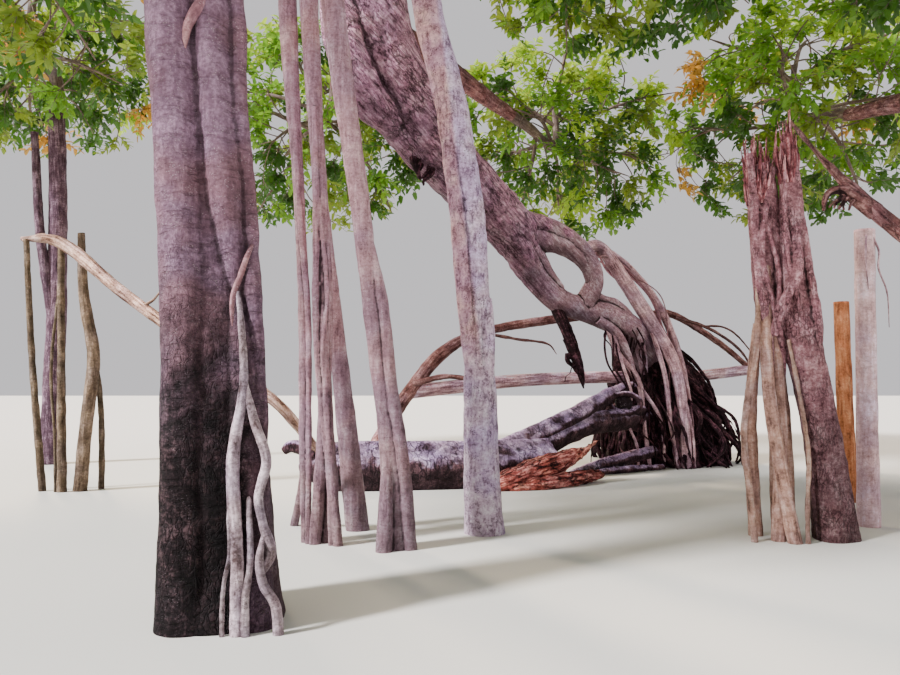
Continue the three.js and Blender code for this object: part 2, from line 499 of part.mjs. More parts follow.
// A mass: its stem, twigs spread evenly round it by the golden angle, and leaves on each twig
function addMass(mass, seed) {
  const chance = chances(seed);
  const between = ([low, high]) => low + (high - low) * chance();
  const neighbours = placed.map((other) => other.cutter);
  const stem = stemOf(mass);
  const parts = [solidOf(stem.shape)];
  const fits = (solid) => clear(solid, neighbours)
    && cornersOf(solid).every((spot) => inOwnSpace(mass, spot));
  for (let i = 0; i < TWIGS_PER_MASS; i += 1) {
    const height = 1 - (i + 0.5) / TWIGS_PER_MASS;
    const root = stem.curve.getPointAt(THREE.MathUtils.lerp(LOWEST_TWIG, HIGHEST_TWIG, height));
    const end = twigEnd(mass, 2 * height - 1, i * GOLDEN_ANGLE + seed);
    const heading = end.clone().sub(root).normalize();
    const size = between(LEAF_SIZES);
    const neck = end.distanceTo(root) - LEAF_LENGTH * size * METRE;
    const twig = shoot(root, heading, neck, LEAF_LENGTH * size * METRE);
    if (!clear(twig, [...neighbours, ...parts.slice(1)])) continue;
    parts.push(twig);
    const { side, face } = blade(heading);
    for (const { places, swing } of SIDE_LEAVES) {
      for (let attempt = 0; attempt < LEAF_TRIES; attempt += 1) {
        const spread = between(LEAF_SPREADS);
        const spot = root.clone().addScaledVector(heading, neck * between(places));
        const aim = heading.clone().multiplyScalar(Math.cos(spread))
          .addScaledVector(side, swing * Math.sin(spread) * Math.cos(LEAF_TILT))
          .addScaledVector(face, Math.sin(spread) * Math.sin(LEAF_TILT));
        const sheet = leaf(spot, aim, SIDE_LEAF * size);
        const rooted = sheet.intersect(twig).volume() < LEAF_ROOT_VOLUME;
        if (rooted && fits(sheet) && clear(sheet, parts.filter((part) => part !== twig))) {
          parts.push(sheet);
          break;
        }
      }
    }
  }
  const solid = largest(wasm.Manifold.union(parts));
  placed.push({ solid, cutter: solid });
  addMesh(mass.name, solid, FOLIAGE, LEAF_ROUGHNESS);
}

masses.forEach((mass, k) => addMass(mass, FIRST_SEED + SEED_STEP * k));

export default tree;
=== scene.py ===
import math

import bmesh
import bpy
import numpy as np
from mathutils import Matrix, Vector


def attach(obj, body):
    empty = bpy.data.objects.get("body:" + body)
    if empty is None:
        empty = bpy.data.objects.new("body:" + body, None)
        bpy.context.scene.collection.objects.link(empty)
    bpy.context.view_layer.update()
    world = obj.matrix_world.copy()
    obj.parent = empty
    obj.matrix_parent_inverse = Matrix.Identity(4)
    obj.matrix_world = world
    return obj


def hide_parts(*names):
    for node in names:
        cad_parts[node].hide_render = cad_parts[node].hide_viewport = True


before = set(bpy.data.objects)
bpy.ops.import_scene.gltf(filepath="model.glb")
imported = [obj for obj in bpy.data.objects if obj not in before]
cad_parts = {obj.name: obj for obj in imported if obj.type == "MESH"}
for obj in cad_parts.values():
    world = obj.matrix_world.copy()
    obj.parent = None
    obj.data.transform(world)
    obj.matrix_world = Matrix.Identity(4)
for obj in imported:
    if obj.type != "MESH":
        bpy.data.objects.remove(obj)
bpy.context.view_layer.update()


# Front trunk
# The youngest of the banyan's trunks: one leaning column of fused aerial roots in smooth purple-grey
# bark, dark and fissured over its lower half. It grew where it stands and flares into the ground.
BELOW_GROUND = -0.3
FORK = (-0.4, 0.1, 6.4)
TRUNK_FOOT_RADIUS = 0.42
TRUNK_RADIUS = 0.31
TRUNK_PATH = [
    (0.05, 0, BELOW_GROUND, TRUNK_FOOT_RADIUS + 0.06), (0.02, 0, 0.25, TRUNK_FOOT_RADIUS - 0.02),
    (-0.05, 0, 1.3, 0.355), (-0.15, 0, 2.8, TRUNK_RADIUS), (-0.32, 0, 4.5, TRUNK_RADIUS),
    (*FORK, TRUNK_RADIUS), (-0.42, -0.7, 8.2, 0.2),
]
TRUNK_COLUMNS = [
    [(-0.42, -0.1, 6.6, 0.18), (-0.42, -0.2, 5.2, 0.17), (-0.3, -0.22, 3.6, 0.17), (-0.2, -0.22, 2.2, 0.17),
     (-0.14, -0.24, 1.0, 0.18), (-0.1, -0.26, BELOW_GROUND, 0.22)],
    [(-0.25, -0.05, 6.2, 0.12), (-0.14, -0.17, 5.0, 0.13), (-0.06, -0.22, 4.2, 0.125),
     (0.02, -0.24, 3.3, 0.115), (0.08, -0.265, 2.85, 0.105), (0.13, -0.25, 2.5, 0.07),
     (0.17, -0.15, 2.1, 0.04)],
    [(-0.12, -0.05, 6.0, 0.07), (0.02, -0.15, 4.9, 0.065), (0.12, -0.2, 4.1, 0.055), (0.14, -0.21, 3.5, 0.06),
     (0.22, -0.2, 2.9, 0.05), (0.26, -0.2, 2.3, 0.055), (0.32, -0.2, 1.6, 0.045), (0.37, -0.18, 0.6, 0.03)],
    [(0.05, -0.1, 2.6, 0.05), (0.2, -0.21, 1.8, 0.09), (0.26, -0.22, 0.8, 0.12),
     (0.3, -0.2, BELOW_GROUND, 0.2)],
]
THINNEST = 0.002
KEPT_FACES = 0.34


def paint(code):
    """A colour code as a linear colour with no transparency."""
    shades = [int(code[k:k + 2], 16) / 255 for k in (1, 3, 5)]
    return (*[s / 12.92 if s <= 0.04045 else ((s + 0.055) / 1.055) ** 2.4 for s in shades], 1)


def add_object(name, data):
    """An object in the scene."""
    made = bpy.data.objects.new(name, data)
    bpy.context.scene.collection.objects.link(made)
    return made


def add_node(tree, kind, inputs=None, **settings):
    """A node with its settings, and with its inputs set to a value or joined to another node's output."""
    made = tree.nodes.new(kind)
    for name, value in settings.items():
        setattr(made, name, value)
    for key, value in (inputs or {}).items():
        if isinstance(value, bpy.types.NodeSocket):
            tree.links.new(value, made.inputs[key])
        else:
            made.inputs[key].default_value = value
    return made


def new_group(name, kind, inputs, outputs=(("Geometry", "Geometry"),)):
    """A node group and the values that come in. Each input and output is a name, a kind and a first value."""
    tree = bpy.data.node_groups.new(name, kind)
    for side, sockets in (("INPUT", inputs), ("OUTPUT", outputs)):
        for label, sort, *value in sockets:
            socket = tree.interface.new_socket(name=label, in_out=side, socket_type="NodeSocket" + sort)
            if value:
                socket.default_value = value[0]
    return tree, add_node(tree, "NodeGroupInput").outputs


def reckon(operation, *values):
    """The output of a Math node, in the tree that its values come from."""
    tree = next(value.id_data for value in values if isinstance(value, bpy.types.NodeSocket))
    return add_node(tree, "ShaderNodeMath", dict(enumerate(values)), operation=operation).outputs[0]


def plus(first, second):
    """The sum of two values in a node tree."""
    return reckon("ADD", first, second)


def minus(first, second):
    """The difference of two values in a node tree."""
    return reckon("SUBTRACT", first, second)


def times(first, second):
    """The product of two values in a node tree."""
    return reckon("MULTIPLY", first, second)


def reckon_vector(operation, first, second):
    """The output of a Vector Math node whose second value may be a single number."""
    key = "Scale" if operation == "SCALE" else 1
    made = add_node(first.id_data, "ShaderNodeVectorMath", {0: first, key: second}, operation=operation)
    return made.outputs["Value" if operation == "DOT_PRODUCT" else "Vector"]


def stretched(place, across, along):
    """A place scaled across the limb and along it, which draws a pattern out where the scale is small."""
    return reckon_vector("MULTIPLY", place, (across, across, along))


def axis_of(place, number):
    """One of a place's three numbers: 0 is across, 1 is away from the camera and 2 is up."""
    return add_node(place.id_data, "ShaderNodeSeparateXYZ", {0: place}).outputs[number]


def noise(place, scale, detail=3.0, roughness=0.55):
    """The grey value of a noise pattern, from 0 to 1."""
    return add_node(place.id_data, "ShaderNodeTexNoise", {
        "Vector": place, "Scale": scale, "Detail": detail, "Roughness": roughness,
    }).outputs[0]


def ripple(place, scale, width, *detail):
    """A noise pattern that strays to either side of nothing, by up to half a width."""
    return times(minus(noise(place, scale, *detail), 0.5), width)


def spread_out(value, low, high, to_low=0.0, to_high=1.0):
    """A value's range from low to high, stretched to another range and held inside it."""
    return add_node(value.id_data, "ShaderNodeMapRange", {
        "Value": value, "From Min": low, "From Max": high, "To Min": to_low, "To Max": to_high,
    }, interpolation_type="SMOOTHSTEP").outputs[0]


def mix_colours(share, first, second, blend="MIX"):
    """Two colours mixed by a share of the second."""
    return add_node(share.id_data, "ShaderNodeMix", {
        0: share, 6: first, 7: second,
    }, data_type="RGBA", blend_type=blend).outputs[2]


def mix_values(share, first, second):
    """Two values mixed by a share of the second."""
    return add_node(share.id_data, "ShaderNodeMix", {0: share, 2: first, 3: second}).outputs[0]


def stored(shape, name, value, kind="FLOAT"):
    """A shape whose points carry a value under a name."""
    return add_node(shape.id_data, "GeometryNodeStoreNamedAttribute", {
        "Geometry": shape, "Name": name, "Value": value,
    }, data_type=kind).outputs[0]


def carried(tree, name, kind="FLOAT"):
    """The value that a shape's points carry under a name."""
    return add_node(tree, "GeometryNodeInputNamedAttribute", {"Name": name}, data_type=kind).outputs[0]


def limb_nodes():
    """Geometry Nodes that grow a limb along each path: round, with flutes, lumps, ridges and creases."""
    tree, given = new_group("limb", "GeometryNodeTree", (
        ("Geometry", "Geometry"), ("Sides", "Int", 48), ("Step", "Float", 0.04), ("Flutes", "Float", 0.0),
        ("Flute Depth", "Float", 0.0), ("Twist", "Float", 0.3), ("Lump Size", "Float", 0.3),
        ("Lump Height", "Float", 0.02), ("Ridge Size", "Float", 0.05), ("Ridge Height", "Float", 0.006),
        ("Crease Size", "Float", 0.06), ("Crease Height", "Float", 0.004), ("Material", "Material"),
    ))
    spline = add_node(tree, "GeometryNodeSplineParameter").outputs
    curve = add_node(tree, "GeometryNodeMeshToCurve", {"Mesh": given["Geometry"]}).outputs[0]
    curve = add_node(tree, "GeometryNodeResampleCurve", {
        "Curve": curve, "Length": given["Step"],
    }, mode="LENGTH").outputs[0]
    curve = stored(curve, "along", spline["Length"])
    circle = add_node(tree, "GeometryNodeCurvePrimitiveCircle", {
        "Resolution": given["Sides"], "Radius": 1.0,
    }).outputs[0]
    circle = stored(circle, "around", times(spline["Factor"], 2 * math.pi))
    tube = add_node(tree, "GeometryNodeCurveToMesh", {
        "Curve": curve, "Profile Curve": circle, "Scale": carried(tree, "girth"), "Fill Caps": True,
    }).outputs[0]
    around, along, girth, shift = (carried(tree, name) for name in ("around", "along", "girth", "shift"))
    place = add_node(tree, "ShaderNodeCombineXYZ", {
        0: times(reckon("COSINE", around), girth), 1: times(reckon("SINE", around), girth),
        2: plus(along, shift),
    }).outputs[0]
    tube = stored(tube, "bark", place, "FLOAT_VECTOR")
    bark = carried(tree, "bark", "FLOAT_VECTOR")
    turn = plus(times(around, given["Flutes"]), times(along, given["Twist"]))
    height = times(reckon("COSINE", turn), times(girth, given["Flute Depth"]))
    for swell, pattern in (
        ("Lump", bark), ("Ridge", stretched(bark, 1.0, 0.22)), ("Crease", stretched(bark, 0.3, 1.0)),
    ):
        scale = reckon("DIVIDE", 1.0, given[swell + " Size"])
        height = plus(height, ripple(pattern, scale, given[swell + " Height"], 4.0))
    normal = add_node(tree, "GeometryNodeInputNormal").outputs[0]
    for kind, inputs in (
        ("GeometryNodeSetPosition", {"Offset": reckon_vector("SCALE", normal, height)}),
        ("GeometryNodeSetShadeSmooth", {}), ("GeometryNodeRealizeInstances", {}),
        ("GeometryNodeSetMaterial", {"Material": given["Material"]}),
    ):
        tube = add_node(tree, kind, {"Geometry": tube, **inputs}).outputs[0]
    add_node(tree, "NodeGroupOutput", {"Geometry": tube})
    return tree


def crevice_nodes():
    """Geometry Nodes that note how deep each point lies in a crevice, and how far its face looks up."""
    tree, given = new_group("crevices", "GeometryNodeTree", (
        ("Geometry", "Geometry"), ("Narrow", "Int", 4), ("Wide", "Int", 22),
    ))
    place = add_node(tree, "GeometryNodeInputPosition").outputs[0]
    normal = add_node(tree, "GeometryNodeInputNormal").outputs[0]

    def hollow(rounds):
        blurred = add_node(tree, "GeometryNodeBlurAttribute", {
            "Value": place, "Iterations": rounds,
        }, data_type="FLOAT_VECTOR").outputs[0]
        return reckon_vector("DOT_PRODUCT", reckon_vector("SUBTRACT", blurred, place), normal)

    depth = plus(times(hollow(given["Narrow"]), 2.0), hollow(given["Wide"]))
    shape = stored(given["Geometry"], "crevice", depth)
    shape = stored(shape, "upward", axis_of(normal, 2))
    add_node(tree, "NodeGroupOutput", {"Geometry": shape})
    return tree


def smooth_path(stations, steps=10):
    """Points and girths along a centripetal Catmull-Rom curve through its stations."""
    spots = np.array(stations, float)
    spots = np.vstack([2 * spots[0] - spots[1], spots, 2 * spots[-1] - spots[-2]])
    path = []
    for a, b, c, d in zip(spots, spots[1:], spots[2:], spots[3:]):
        knots = np.cumsum([0, *[math.dist(p[:3], q[:3]) ** 0.5 for p, q in ((a, b), (b, c), (c, d))]])
        t = np.linspace(knots[1], knots[2], steps, endpoint=False)[:, None]

        def between(p, q, low, high):
            return ((high - t) * p + (t - low) * q) / (high - low)

        ab, bc, cd = (between(p, q, knots[k], knots[k + 1])
                      for k, (p, q) in enumerate(((a, b), (b, c), (c, d))))
        first, second = between(ab, bc, knots[0], knots[2]), between(bc, cd, knots[1], knots[3])
        path.append(between(first, second, knots[1], knots[2]))
    path = np.vstack([*path, spots[-2]])
    path[:, 3] = np.maximum(path[:, 3], THINNEST)
    return path


def points_object(name, spots, edges, **values):
    """A mesh of bare points and lines, whose points carry each value under its name."""
    mesh = bpy.data.meshes.new(name)
    mesh.from_pydata(spots.tolist(), edges, [])
    for key, value in values.items():
        kind, field = ("FLOAT", "value") if value.ndim == 1 else ("FLOAT_VECTOR", "vector")
        mesh.attributes.new(key, kind, "POINT").data.foreach_set(field, value.astype(np.float32).ravel())
    return add_object(name, mesh)


def line_object(name, paths, seed):
    """Bare lines along paths, with their girth and a chance shift of their bark at each point."""
    ends = np.cumsum([len(path) for path in paths])
    edges = [(k, k + 1) for k in range(ends[-1] - 1) if k + 1 not in set(ends)]
    shifts = np.random.default_rng(seed).uniform(0, 40, len(paths))
    line = np.vstack(paths)
    return points_object(name, line[:, :3], edges, girth=line[:, 3],
                         shift=np.repeat(shifts, [len(path) for path in paths]))


def plain_mesh(maker, name):
    """The evaluated mesh of an object as a new object with no modifier; the old one is removed."""
    maker.name = name + "_maker"
    shape = maker.evaluated_get(bpy.context.evaluated_depsgraph_get())
    made = add_object(name, bpy.data.meshes.new_from_object(shape))
    bpy.data.objects.remove(maker)
    return made


def run_nodes(maker, name, tree, values):
    """Runs a node tree with its named inputs on an object, which gives way to the plain mesh it makes."""
    modifier = maker.modifiers.new("nodes", "NODES")
    modifier.node_group = tree
    for item in tree.interface.items_tree:
        if item.in_out == "INPUT" and item.name in values:
            modifier[item.identifier] = values[item.name]
    return plain_mesh(maker, name)


def fuse(piece, voxel):
    """The piece's limbs grown into one skin, with the creases between them softened."""
    for name, kind, settings in (
        ("skin", "REMESH", {"mode": "VOXEL", "voxel_size": voxel, "use_smooth_shade": True}),
        ("soften", "SMOOTH", {"factor": 0.5, "iterations": 2}), ("thin", "DECIMATE", {"ratio": KEPT_FACES}),
    ):
        modifier = piece.modifiers.new(name, kind)
        for key, value in settings.items():
            setattr(modifier, key, value)
    return plain_mesh(piece, piece.name)


def cut_at_ground(piece):
    """Cuts a piece flat at ground level and closes the cut."""
    shape = bmesh.new()
    shape.from_mesh(piece.data)
    everything = [*shape.verts, *shape.edges, *shape.faces]
    cut = bmesh.ops.bisect_plane(shape, geom=everything, plane_co=(0, 0, 0), plane_no=(0, 0, 1),
                                 clear_inner=True)
    rim = [item for item in cut["geom_cut"] if isinstance(item, bmesh.types.BMEdge)]
    soles = bmesh.ops.holes_fill(shape, edges=rim)["faces"]
    shape.normal_update()
    bmesh.ops.reverse_faces(shape, faces=[face for face in soles if face.normal.z > 0])
    shape.to_mesh(piece.data)
    shape.free()


LIMB_NODES = limb_nodes()
CREVICE_NODES = crevice_nodes()
limb_lines = []


def input_names(values):
    """Values by the names of a node group's inputs."""
    return {key.replace("_", " ").title(): value for key, value in values.items()}


def grow(name, paths, bark, sides, step, seed=1, fused=None, **relief):
    """A piece grown along one or more paths of stations, cut flat at the ground where it reaches it.
    Where fused gives a size of detail, its limbs are grown into one skin."""
    lines = [smooth_path(path) for path in paths]
    limb_lines.extend(lines)
    piece = run_nodes(line_object(name, lines, seed), name, LIMB_NODES, {
        "Sides": sides, "Step": step, "Material": bark, **input_names(relief),
    })
    if fused:
        piece = fuse(piece, fused)
    if min((line[:, 2] - line[:, 3]).min() for line in lines) < 0.02:
        cut_at_ground(piece)
    return run_nodes(piece, name, CREVICE_NODES, {})


def bark_nodes():
    """A shader group for bark: patches, long streaks, net-like fissures, creases across and specks."""
    tree, given = new_group("bark surface", "ShaderNodeTree", (
        ("Vector", "Vector"), ("Pale", "Color"), ("Middle", "Color"), ("Dark", "Color"), ("Crack", "Color"),
        ("Patch Scale", "Float", 2.5), ("Contrast", "Float", 1.1), ("Streaks", "Float", 0.5),
        ("Fissure Scale", "Float", 9.0), ("Fissures", "Float", 0.5), ("Creases", "Float", 0.4),
        ("Speck", "Color"), ("Speck Scale", "Float", 60.0), ("Specks", "Float", 0.3),
        ("Tinge", "Color", (0.5, 0.54, 0.78, 1.0)), ("Tinges", "Float", 0.45),
    ), (("Color", "Color"), ("Roughness", "Float"), ("Height", "Float")))
    place = given["Vector"]
    patch = noise(place, given["Patch Scale"], 6.0, 0.65)
    fine = noise(place, 38.0, 6.0, 0.7)
    streak = ripple(stretched(place, 1.0, 0.12), 26.0, given["Streaks"], 4.0)
    tone = times(minus(plus(times(patch, 0.55), times(fine, 0.45)), 0.5), given["Contrast"])
    tone = plus(plus(tone, 0.5), streak)
    colour = mix_colours(spread_out(tone, 0.24, 0.52), given["Dark"], given["Middle"])
    colour = mix_colours(spread_out(tone, 0.47, 0.72), colour, given["Pale"])
    hue = times(spread_out(noise(place, 1.4, 3.0), 0.42, 0.6), given["Tinges"])
    colour = mix_colours(hue, colour, given["Tinge"], "MULTIPLY")

    wander = add_node(tree, "ShaderNodeTexNoise", {"Vector": place, "Scale": 7.0, "Detail": 3.0}).outputs[1]
    wander = reckon_vector("SCALE", reckon_vector("SUBTRACT", wander, (0.5, 0.5, 0.5)), 0.14)
    edge = add_node(tree, "ShaderNodeTexVoronoi", {
        "Vector": stretched(reckon_vector("ADD", place, wander), 1.0, 0.26), "Scale": given["Fissure Scale"],
    }, feature="DISTANCE_TO_EDGE").outputs[0]
    crack = times(spread_out(edge, 0.01, 0.11, 1.0, 0.0), spread_out(noise(place, 3.1), 0.38, 0.6))
    crack = times(crack, given["Fissures"])
    colour = mix_colours(crack, colour, given["Crack"])

    crease = noise(stretched(place, 0.25, 1.0), 30.0, 4.0)
    crease = times(spread_out(crease, 0.34, 0.5), given["Creases"])
    colour = mix_colours(times(minus(given["Creases"], crease), 0.5), colour, given["Dark"])

    dot = add_node(tree, "ShaderNodeTexVoronoi", {
        "Vector": stretched(place, 1.0, 1.7), "Scale": given["Speck Scale"],
    }).outputs[0]
    dot = times(spread_out(dot, 0.14, 0.34, 1.0, 0.0), spread_out(noise(place, 11.0, 2.0), 0.46, 0.62))
    dot = times(dot, given["Specks"])
    colour = mix_colours(dot, colour, given["Speck"])

    height = times(crack, -0.9)
    for each, share in ((patch, 0.35), (fine, 0.4), (streak, 0.9), (crease, 0.5), (dot, 0.25)):
        height = plus(height, times(each, share))
    add_node(tree, "NodeGroupOutput", {
        "Color": colour, "Roughness": spread_out(tone, 0.3, 0.7, 0.92, 0.66), "Height": height,
    })
    return tree


BARK_NODES = bark_nodes()
# The deepest shade serves for cracks and painted shade; the others are a painted crest highlight, painted top
# light and painted shade near the ground.
DEEP_SHADE = paint("#1a1013")
PAINTED_CREST_HIGHLIGHT = (1.45, 1.36, 1.42, 1)
SUNLIT_TOP = (1.7, 1.6, 1.68, 1)
GROUND_SHADE_TINT = (0.22, 0.235, 0.215, 1)
GROUND_SHADE_FOOT, GROUND_SHADE_TOP = -0.3, 3.4
BARK_GLOSS = 0.14


def bark_surface(place, colours, **sizes):
    """The bark group in a material, with its colours from pale to dark and its other values by name."""
    named = dict(zip(("Pale", "Middle", "Dark"), map(paint, colours)))
    values = {"Crack": DEEP_SHADE, "Speck": paint("#cdbcc4"), "Vector": place, **named, **input_names(sizes)}
    return add_node(place.id_data, "ShaderNodeGroup", values, node_tree=BARK_NODES).outputs


def surface_coordinates(tree, follows_limb=True, lean=None):
    """Coordinates in metres: along and round the limb where it has them, or else straight through space,
    turned so that their upright axis leans the given way."""
    if follows_limb:
        return add_node(tree, "ShaderNodeAttribute", attribute_name="bark").outputs["Vector"]
    place = add_node(tree, "ShaderNodeTexCoord").outputs["Object"]
    if lean:
        turn = Vector(lean).rotation_difference(Vector((0, 0, 1))).to_euler()
        place = add_node(tree, "ShaderNodeMapping", {"Vector": place, "Rotation": turn}).outputs[0]
    return place


def noted(tree, name, low, high):
    """A value that a piece carries at each point, brought to 0 at low and 1 at high."""
    return spread_out(add_node(tree, "ShaderNodeAttribute", attribute_name=name).outputs["Fac"], low, high)


def finish_bark(material, colour, roughness, height, depth, stain_and_ground_shade=0.0, shade=0.88, under=0.0):
    """Joins colour, roughness and height to the material's own shader, with the relief's depth in metres.
    Crevices get painted shade and crests a painted highlight. By the share given, faces that look up get
    painted light and the underside gets painted shade, and painted shade darkens the bark up from the ground."""
    tree = material.node_tree
    # Painted light by the share given: faces that look up are lit and faces that look down get painted shade.
    if under:
        painted_top_light, darkening = (times(noted(tree, "upward", *span), under) for span in ((0.0, 0.9), (0.2, -0.8)))
        colour = mix_colours(painted_top_light, colour, SUNLIT_TOP, "MULTIPLY")
        colour = mix_colours(darkening, colour, DEEP_SHADE)
    # Painted shade that darkens the bark towards the ground.
    if stain_and_ground_shade:
        place = surface_coordinates(tree, False)
        rise = plus(axis_of(place, 2), ripple(place, 2.5, 2.0))
        low = spread_out(rise, GROUND_SHADE_FOOT, GROUND_SHADE_TOP, stain_and_ground_shade, 0.0)
        colour = mix_colours(low, colour, GROUND_SHADE_TINT, "MULTIPLY")
    # Painted highlight on crests and painted shade in crevices.
    colour = mix_colours(noted(tree, "crevice", -0.004, -0.03), colour, PAINTED_CREST_HIGHLIGHT, "MULTIPLY")
    colour = mix_colours(times(noted(tree, "crevice", 0.0015, 0.016), shade), colour, DEEP_SHADE)
    bump = add_node(tree, "ShaderNodeBump", {"Strength": 1.0, "Distance": depth, "Height": height}).outputs[0]
    shader = add_node(tree, "ShaderNodeBsdfPrincipled", {
        "Base Color": colour, "Roughness": roughness, "Normal": bump, "Specular IOR Level": BARK_GLOSS,
    })
    add_node(tree, "ShaderNodeOutputMaterial", {"Surface": shader.outputs[0]})
    return material


def new_material(name):
    """A material with an empty node tree."""
    material = bpy.data.materials.new(name)
    material.use_nodes = True
    material.node_tree.nodes.clear()
    return material


def bark_material(name, colours, depth=0.02, follows_limb=True, lean=None, stain_and_ground_shade=0.0, shade=0.88, under=0.0,
                  **sizes):
    """A material of one kind of bark, from pale to dark."""
    material = new_material(name)
    bark = bark_surface(surface_coordinates(material.node_tree, follows_limb, lean), colours, **sizes)
    return finish_bark(material, bark["Color"], bark["Roughness"], bark["Height"], depth, stain_and_ground_shade, shade, under)


DARK_RUN = 0.1
DARK_RUN_TINT = (0.3, 0.27, 0.28, 1)


def trunk_bark_material():
    """Smooth purple-grey bark, dark and fissured below about head height, with a darker run down its front.
    """
    material = new_material("trunk bark")
    place = surface_coordinates(material.node_tree, False)
    upper = bark_surface(place, ("#b7929f", "#7c5d68", "#4a323a"), patch_scale=1.4, streaks=0.25,
                         fissures=0.1, creases=0.6, specks=0.45, speck_scale=50.0, tinge=(0.74, 0.8, 1.0, 1),
                         tinges=0.8)
    lower = bark_surface(place, ("#4a383b", "#160d10", "#040202"), patch_scale=6.0, contrast=1.6,
                         streaks=0.35, fissures=0.6, fissure_scale=24.0, creases=0.9, specks=0.08, tinges=0.2)
    rise = plus(axis_of(place, 2), ripple(place, 3.0, 3.0, 7.0, 0.7))
    across = plus(axis_of(place, 0), ripple(place, 2.2, 0.5, 6.0, 0.7))
    low = times(spread_out(rise, 1.0, 3.2, 1.0, 0.0), spread_out(across, 0.24, 0.36, 1.0, 0.72))
    colour = mix_colours(low, upper["Color"], lower["Color"])
    aside = reckon("ABSOLUTE", minus(across, DARK_RUN))
    darkening = times(spread_out(aside, 0.06, 0.22, 0.95, 0.0), low)
    colour = mix_colours(darkening, colour, DARK_RUN_TINT, "MULTIPLY")
    height = mix_values(low, upper["Height"], lower["Height"])
    return finish_bark(material, colour, upper["Roughness"], height, 0.022, shade=0.6)


trunk = grow("trunk_bark", [TRUNK_PATH, *TRUNK_COLUMNS], trunk_bark_material(), 90, 0.03, fused=0.013,
             lump_size=0.4, lump_height=0.05, ridge_size=0.07, ridge_height=0.012, crease_height=0.012)
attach(trunk, "root")
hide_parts("trunk", "trunk_rib_root", "trunk_side_root")


# Roots that creep down the front trunk
# Pale aerial roots that run down the bark to the ground, and short ones that end in the air. Each grew
# from higher up, clings to the bark and thickens where it reaches the soil.
CREEPING_ROOTS = [
    [(0.14, -0.18, 2.35, 0.01), (0.2, -0.27, 2.05, 0.022), (0.24, -0.31, 1.6, 0.03),
     (0.19, -0.345, 1.1, 0.042), (0.24, -0.385, 0.5, 0.044), (0.27, -0.42, BELOW_GROUND, 0.05)],
    [(0.21, -0.25, 1.75, 0.01), (0.25, -0.3, 1.58, 0.026), (0.33, -0.31, 1.32, 0.032),
     (0.4, -0.3, 1.1, 0.034), (0.36, -0.33, 0.85, 0.03), (0.4, -0.35, 0.68, 0.03), (0.45, -0.34, 0.5, 0.034),
     (0.41, -0.36, 0.4, 0.026), (0.36, -0.3, 0.32, 0.008)],
    [(0.4, -0.28, 0.68, 0.006), (0.4, -0.37, 0.58, 0.018), (0.39, -0.4, 0.46, 0.027),
     (0.42, -0.41, 0.32, 0.03), (0.5, -0.4, 0.18, 0.034), (0.52, -0.38, BELOW_GROUND, 0.036)],
    [(0.16, -0.3, 1.0, 0.004), (0.18, -0.38, 0.75, 0.012), (0.2, -0.41, 0.5, 0.014),
     (0.17, -0.425, 0.3, 0.014), (0.18, -0.44, BELOW_GROUND, 0.02)],
    [(0.27, -0.24, 1.05, 0.004), (0.3, -0.34, 0.8, 0.018), (0.33, -0.39, 0.45, 0.022),
     (0.31, -0.42, 0.2, 0.026), (0.34, -0.44, BELOW_GROUND, 0.035)],
]
SHORT_ROOTS = [
    [(0.27, -0.2, 2.62, 0.008), (0.24, -0.28, 2.48, 0.017), (0.21, -0.335, 2.33, 0.02),
     (0.17, -0.355, 2.2, 0.018), (0.165, -0.35, 2.05, 0.012), (0.165, -0.34, 1.99, 0.003)],
    [(0.0, -0.2, 4.55, 0.05), (-0.1, -0.32, 4.25, 0.044), (-0.18, -0.35, 4.08, 0.034),
     (-0.2, -0.345, 3.97, 0.02), (-0.2, -0.34, 3.91, 0.004)],
]
CREEPING_BARK = bark_material("creeping root bark", ("#d6c6ca", "#96868a", "#463938"), 0.012, stain_and_ground_shade=0.35,
                              under=0.5, patch_scale=6.0, contrast=1.4, streaks=0.7, fissures=0.2,
                              creases=0.6, specks=0.7, speck=paint("#41342f"))
creeping_roots = grow("creeping_roots", CREEPING_ROOTS, CREEPING_BARK, 20, 0.015, 2, lump_size=0.09,
                      lump_height=0.012, ridge_size=0.03, ridge_height=0.004, crease_height=0.002)
BROWN_ROOT_BARK = bark_material("brown root bark", ("#b98f92", "#835f63", "#4b3236"), 0.008, patch_scale=5.0,
                                streaks=0.5, fissures=0.1, creases=0.5, specks=0.5)
short_roots = grow("short_roots", SHORT_ROOTS, BROWN_ROOT_BARK, 20, 0.015, 3, lump_size=0.09,
                   lump_height=0.012, ridge_size=0.03, ridge_height=0.004, crease_height=0.002)
for piece in (creeping_roots, short_roots):
    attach(piece, "root")
    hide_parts("trunk_creeping_roots")


# Boughs of the front trunk
# Smooth pale limbs that leave the trunk's fork. One runs back over the prop stems, which hang from it,
# and a riser goes up from it into the middle of the crown.
PROP_BOUGH = (0.05, 2.4, 7.35)
FRONT_BOUGHS = {
    "bough_front_left": [(*FORK, 0.24), (-1.5, -0.4, 7.3, 0.19), (-2.9, -1.1, 8.1, 0.13)],
    "bough_front_right": [(*FORK, 0.22), (0.8, -0.6, 7.3, 0.18), (2.3, -1.4, 8.2, 0.12)],
    "bough_left": [(-0.35, 0.1, 5.9, 0.24), (-1.9, 1.5, 6.9, 0.2), (-3.6, 3.2, 7.9, 0.13)],
    "bough_over_props": [
        (-0.38, 0.1, 6.1, 0.26), (-0.2, 1.4, 7.05, 0.27), (*PROP_BOUGH, 0.28), (1.25, 3.0, 7.85, 0.24),
        (2.9, 2.9, 8.9, 0.14),
    ],
    "bough_riser": [(*PROP_BOUGH, 0.16), (0.15, 2.5, 8.4, 0.14), (0.2, 2.5, 9.4, 0.1)],
}
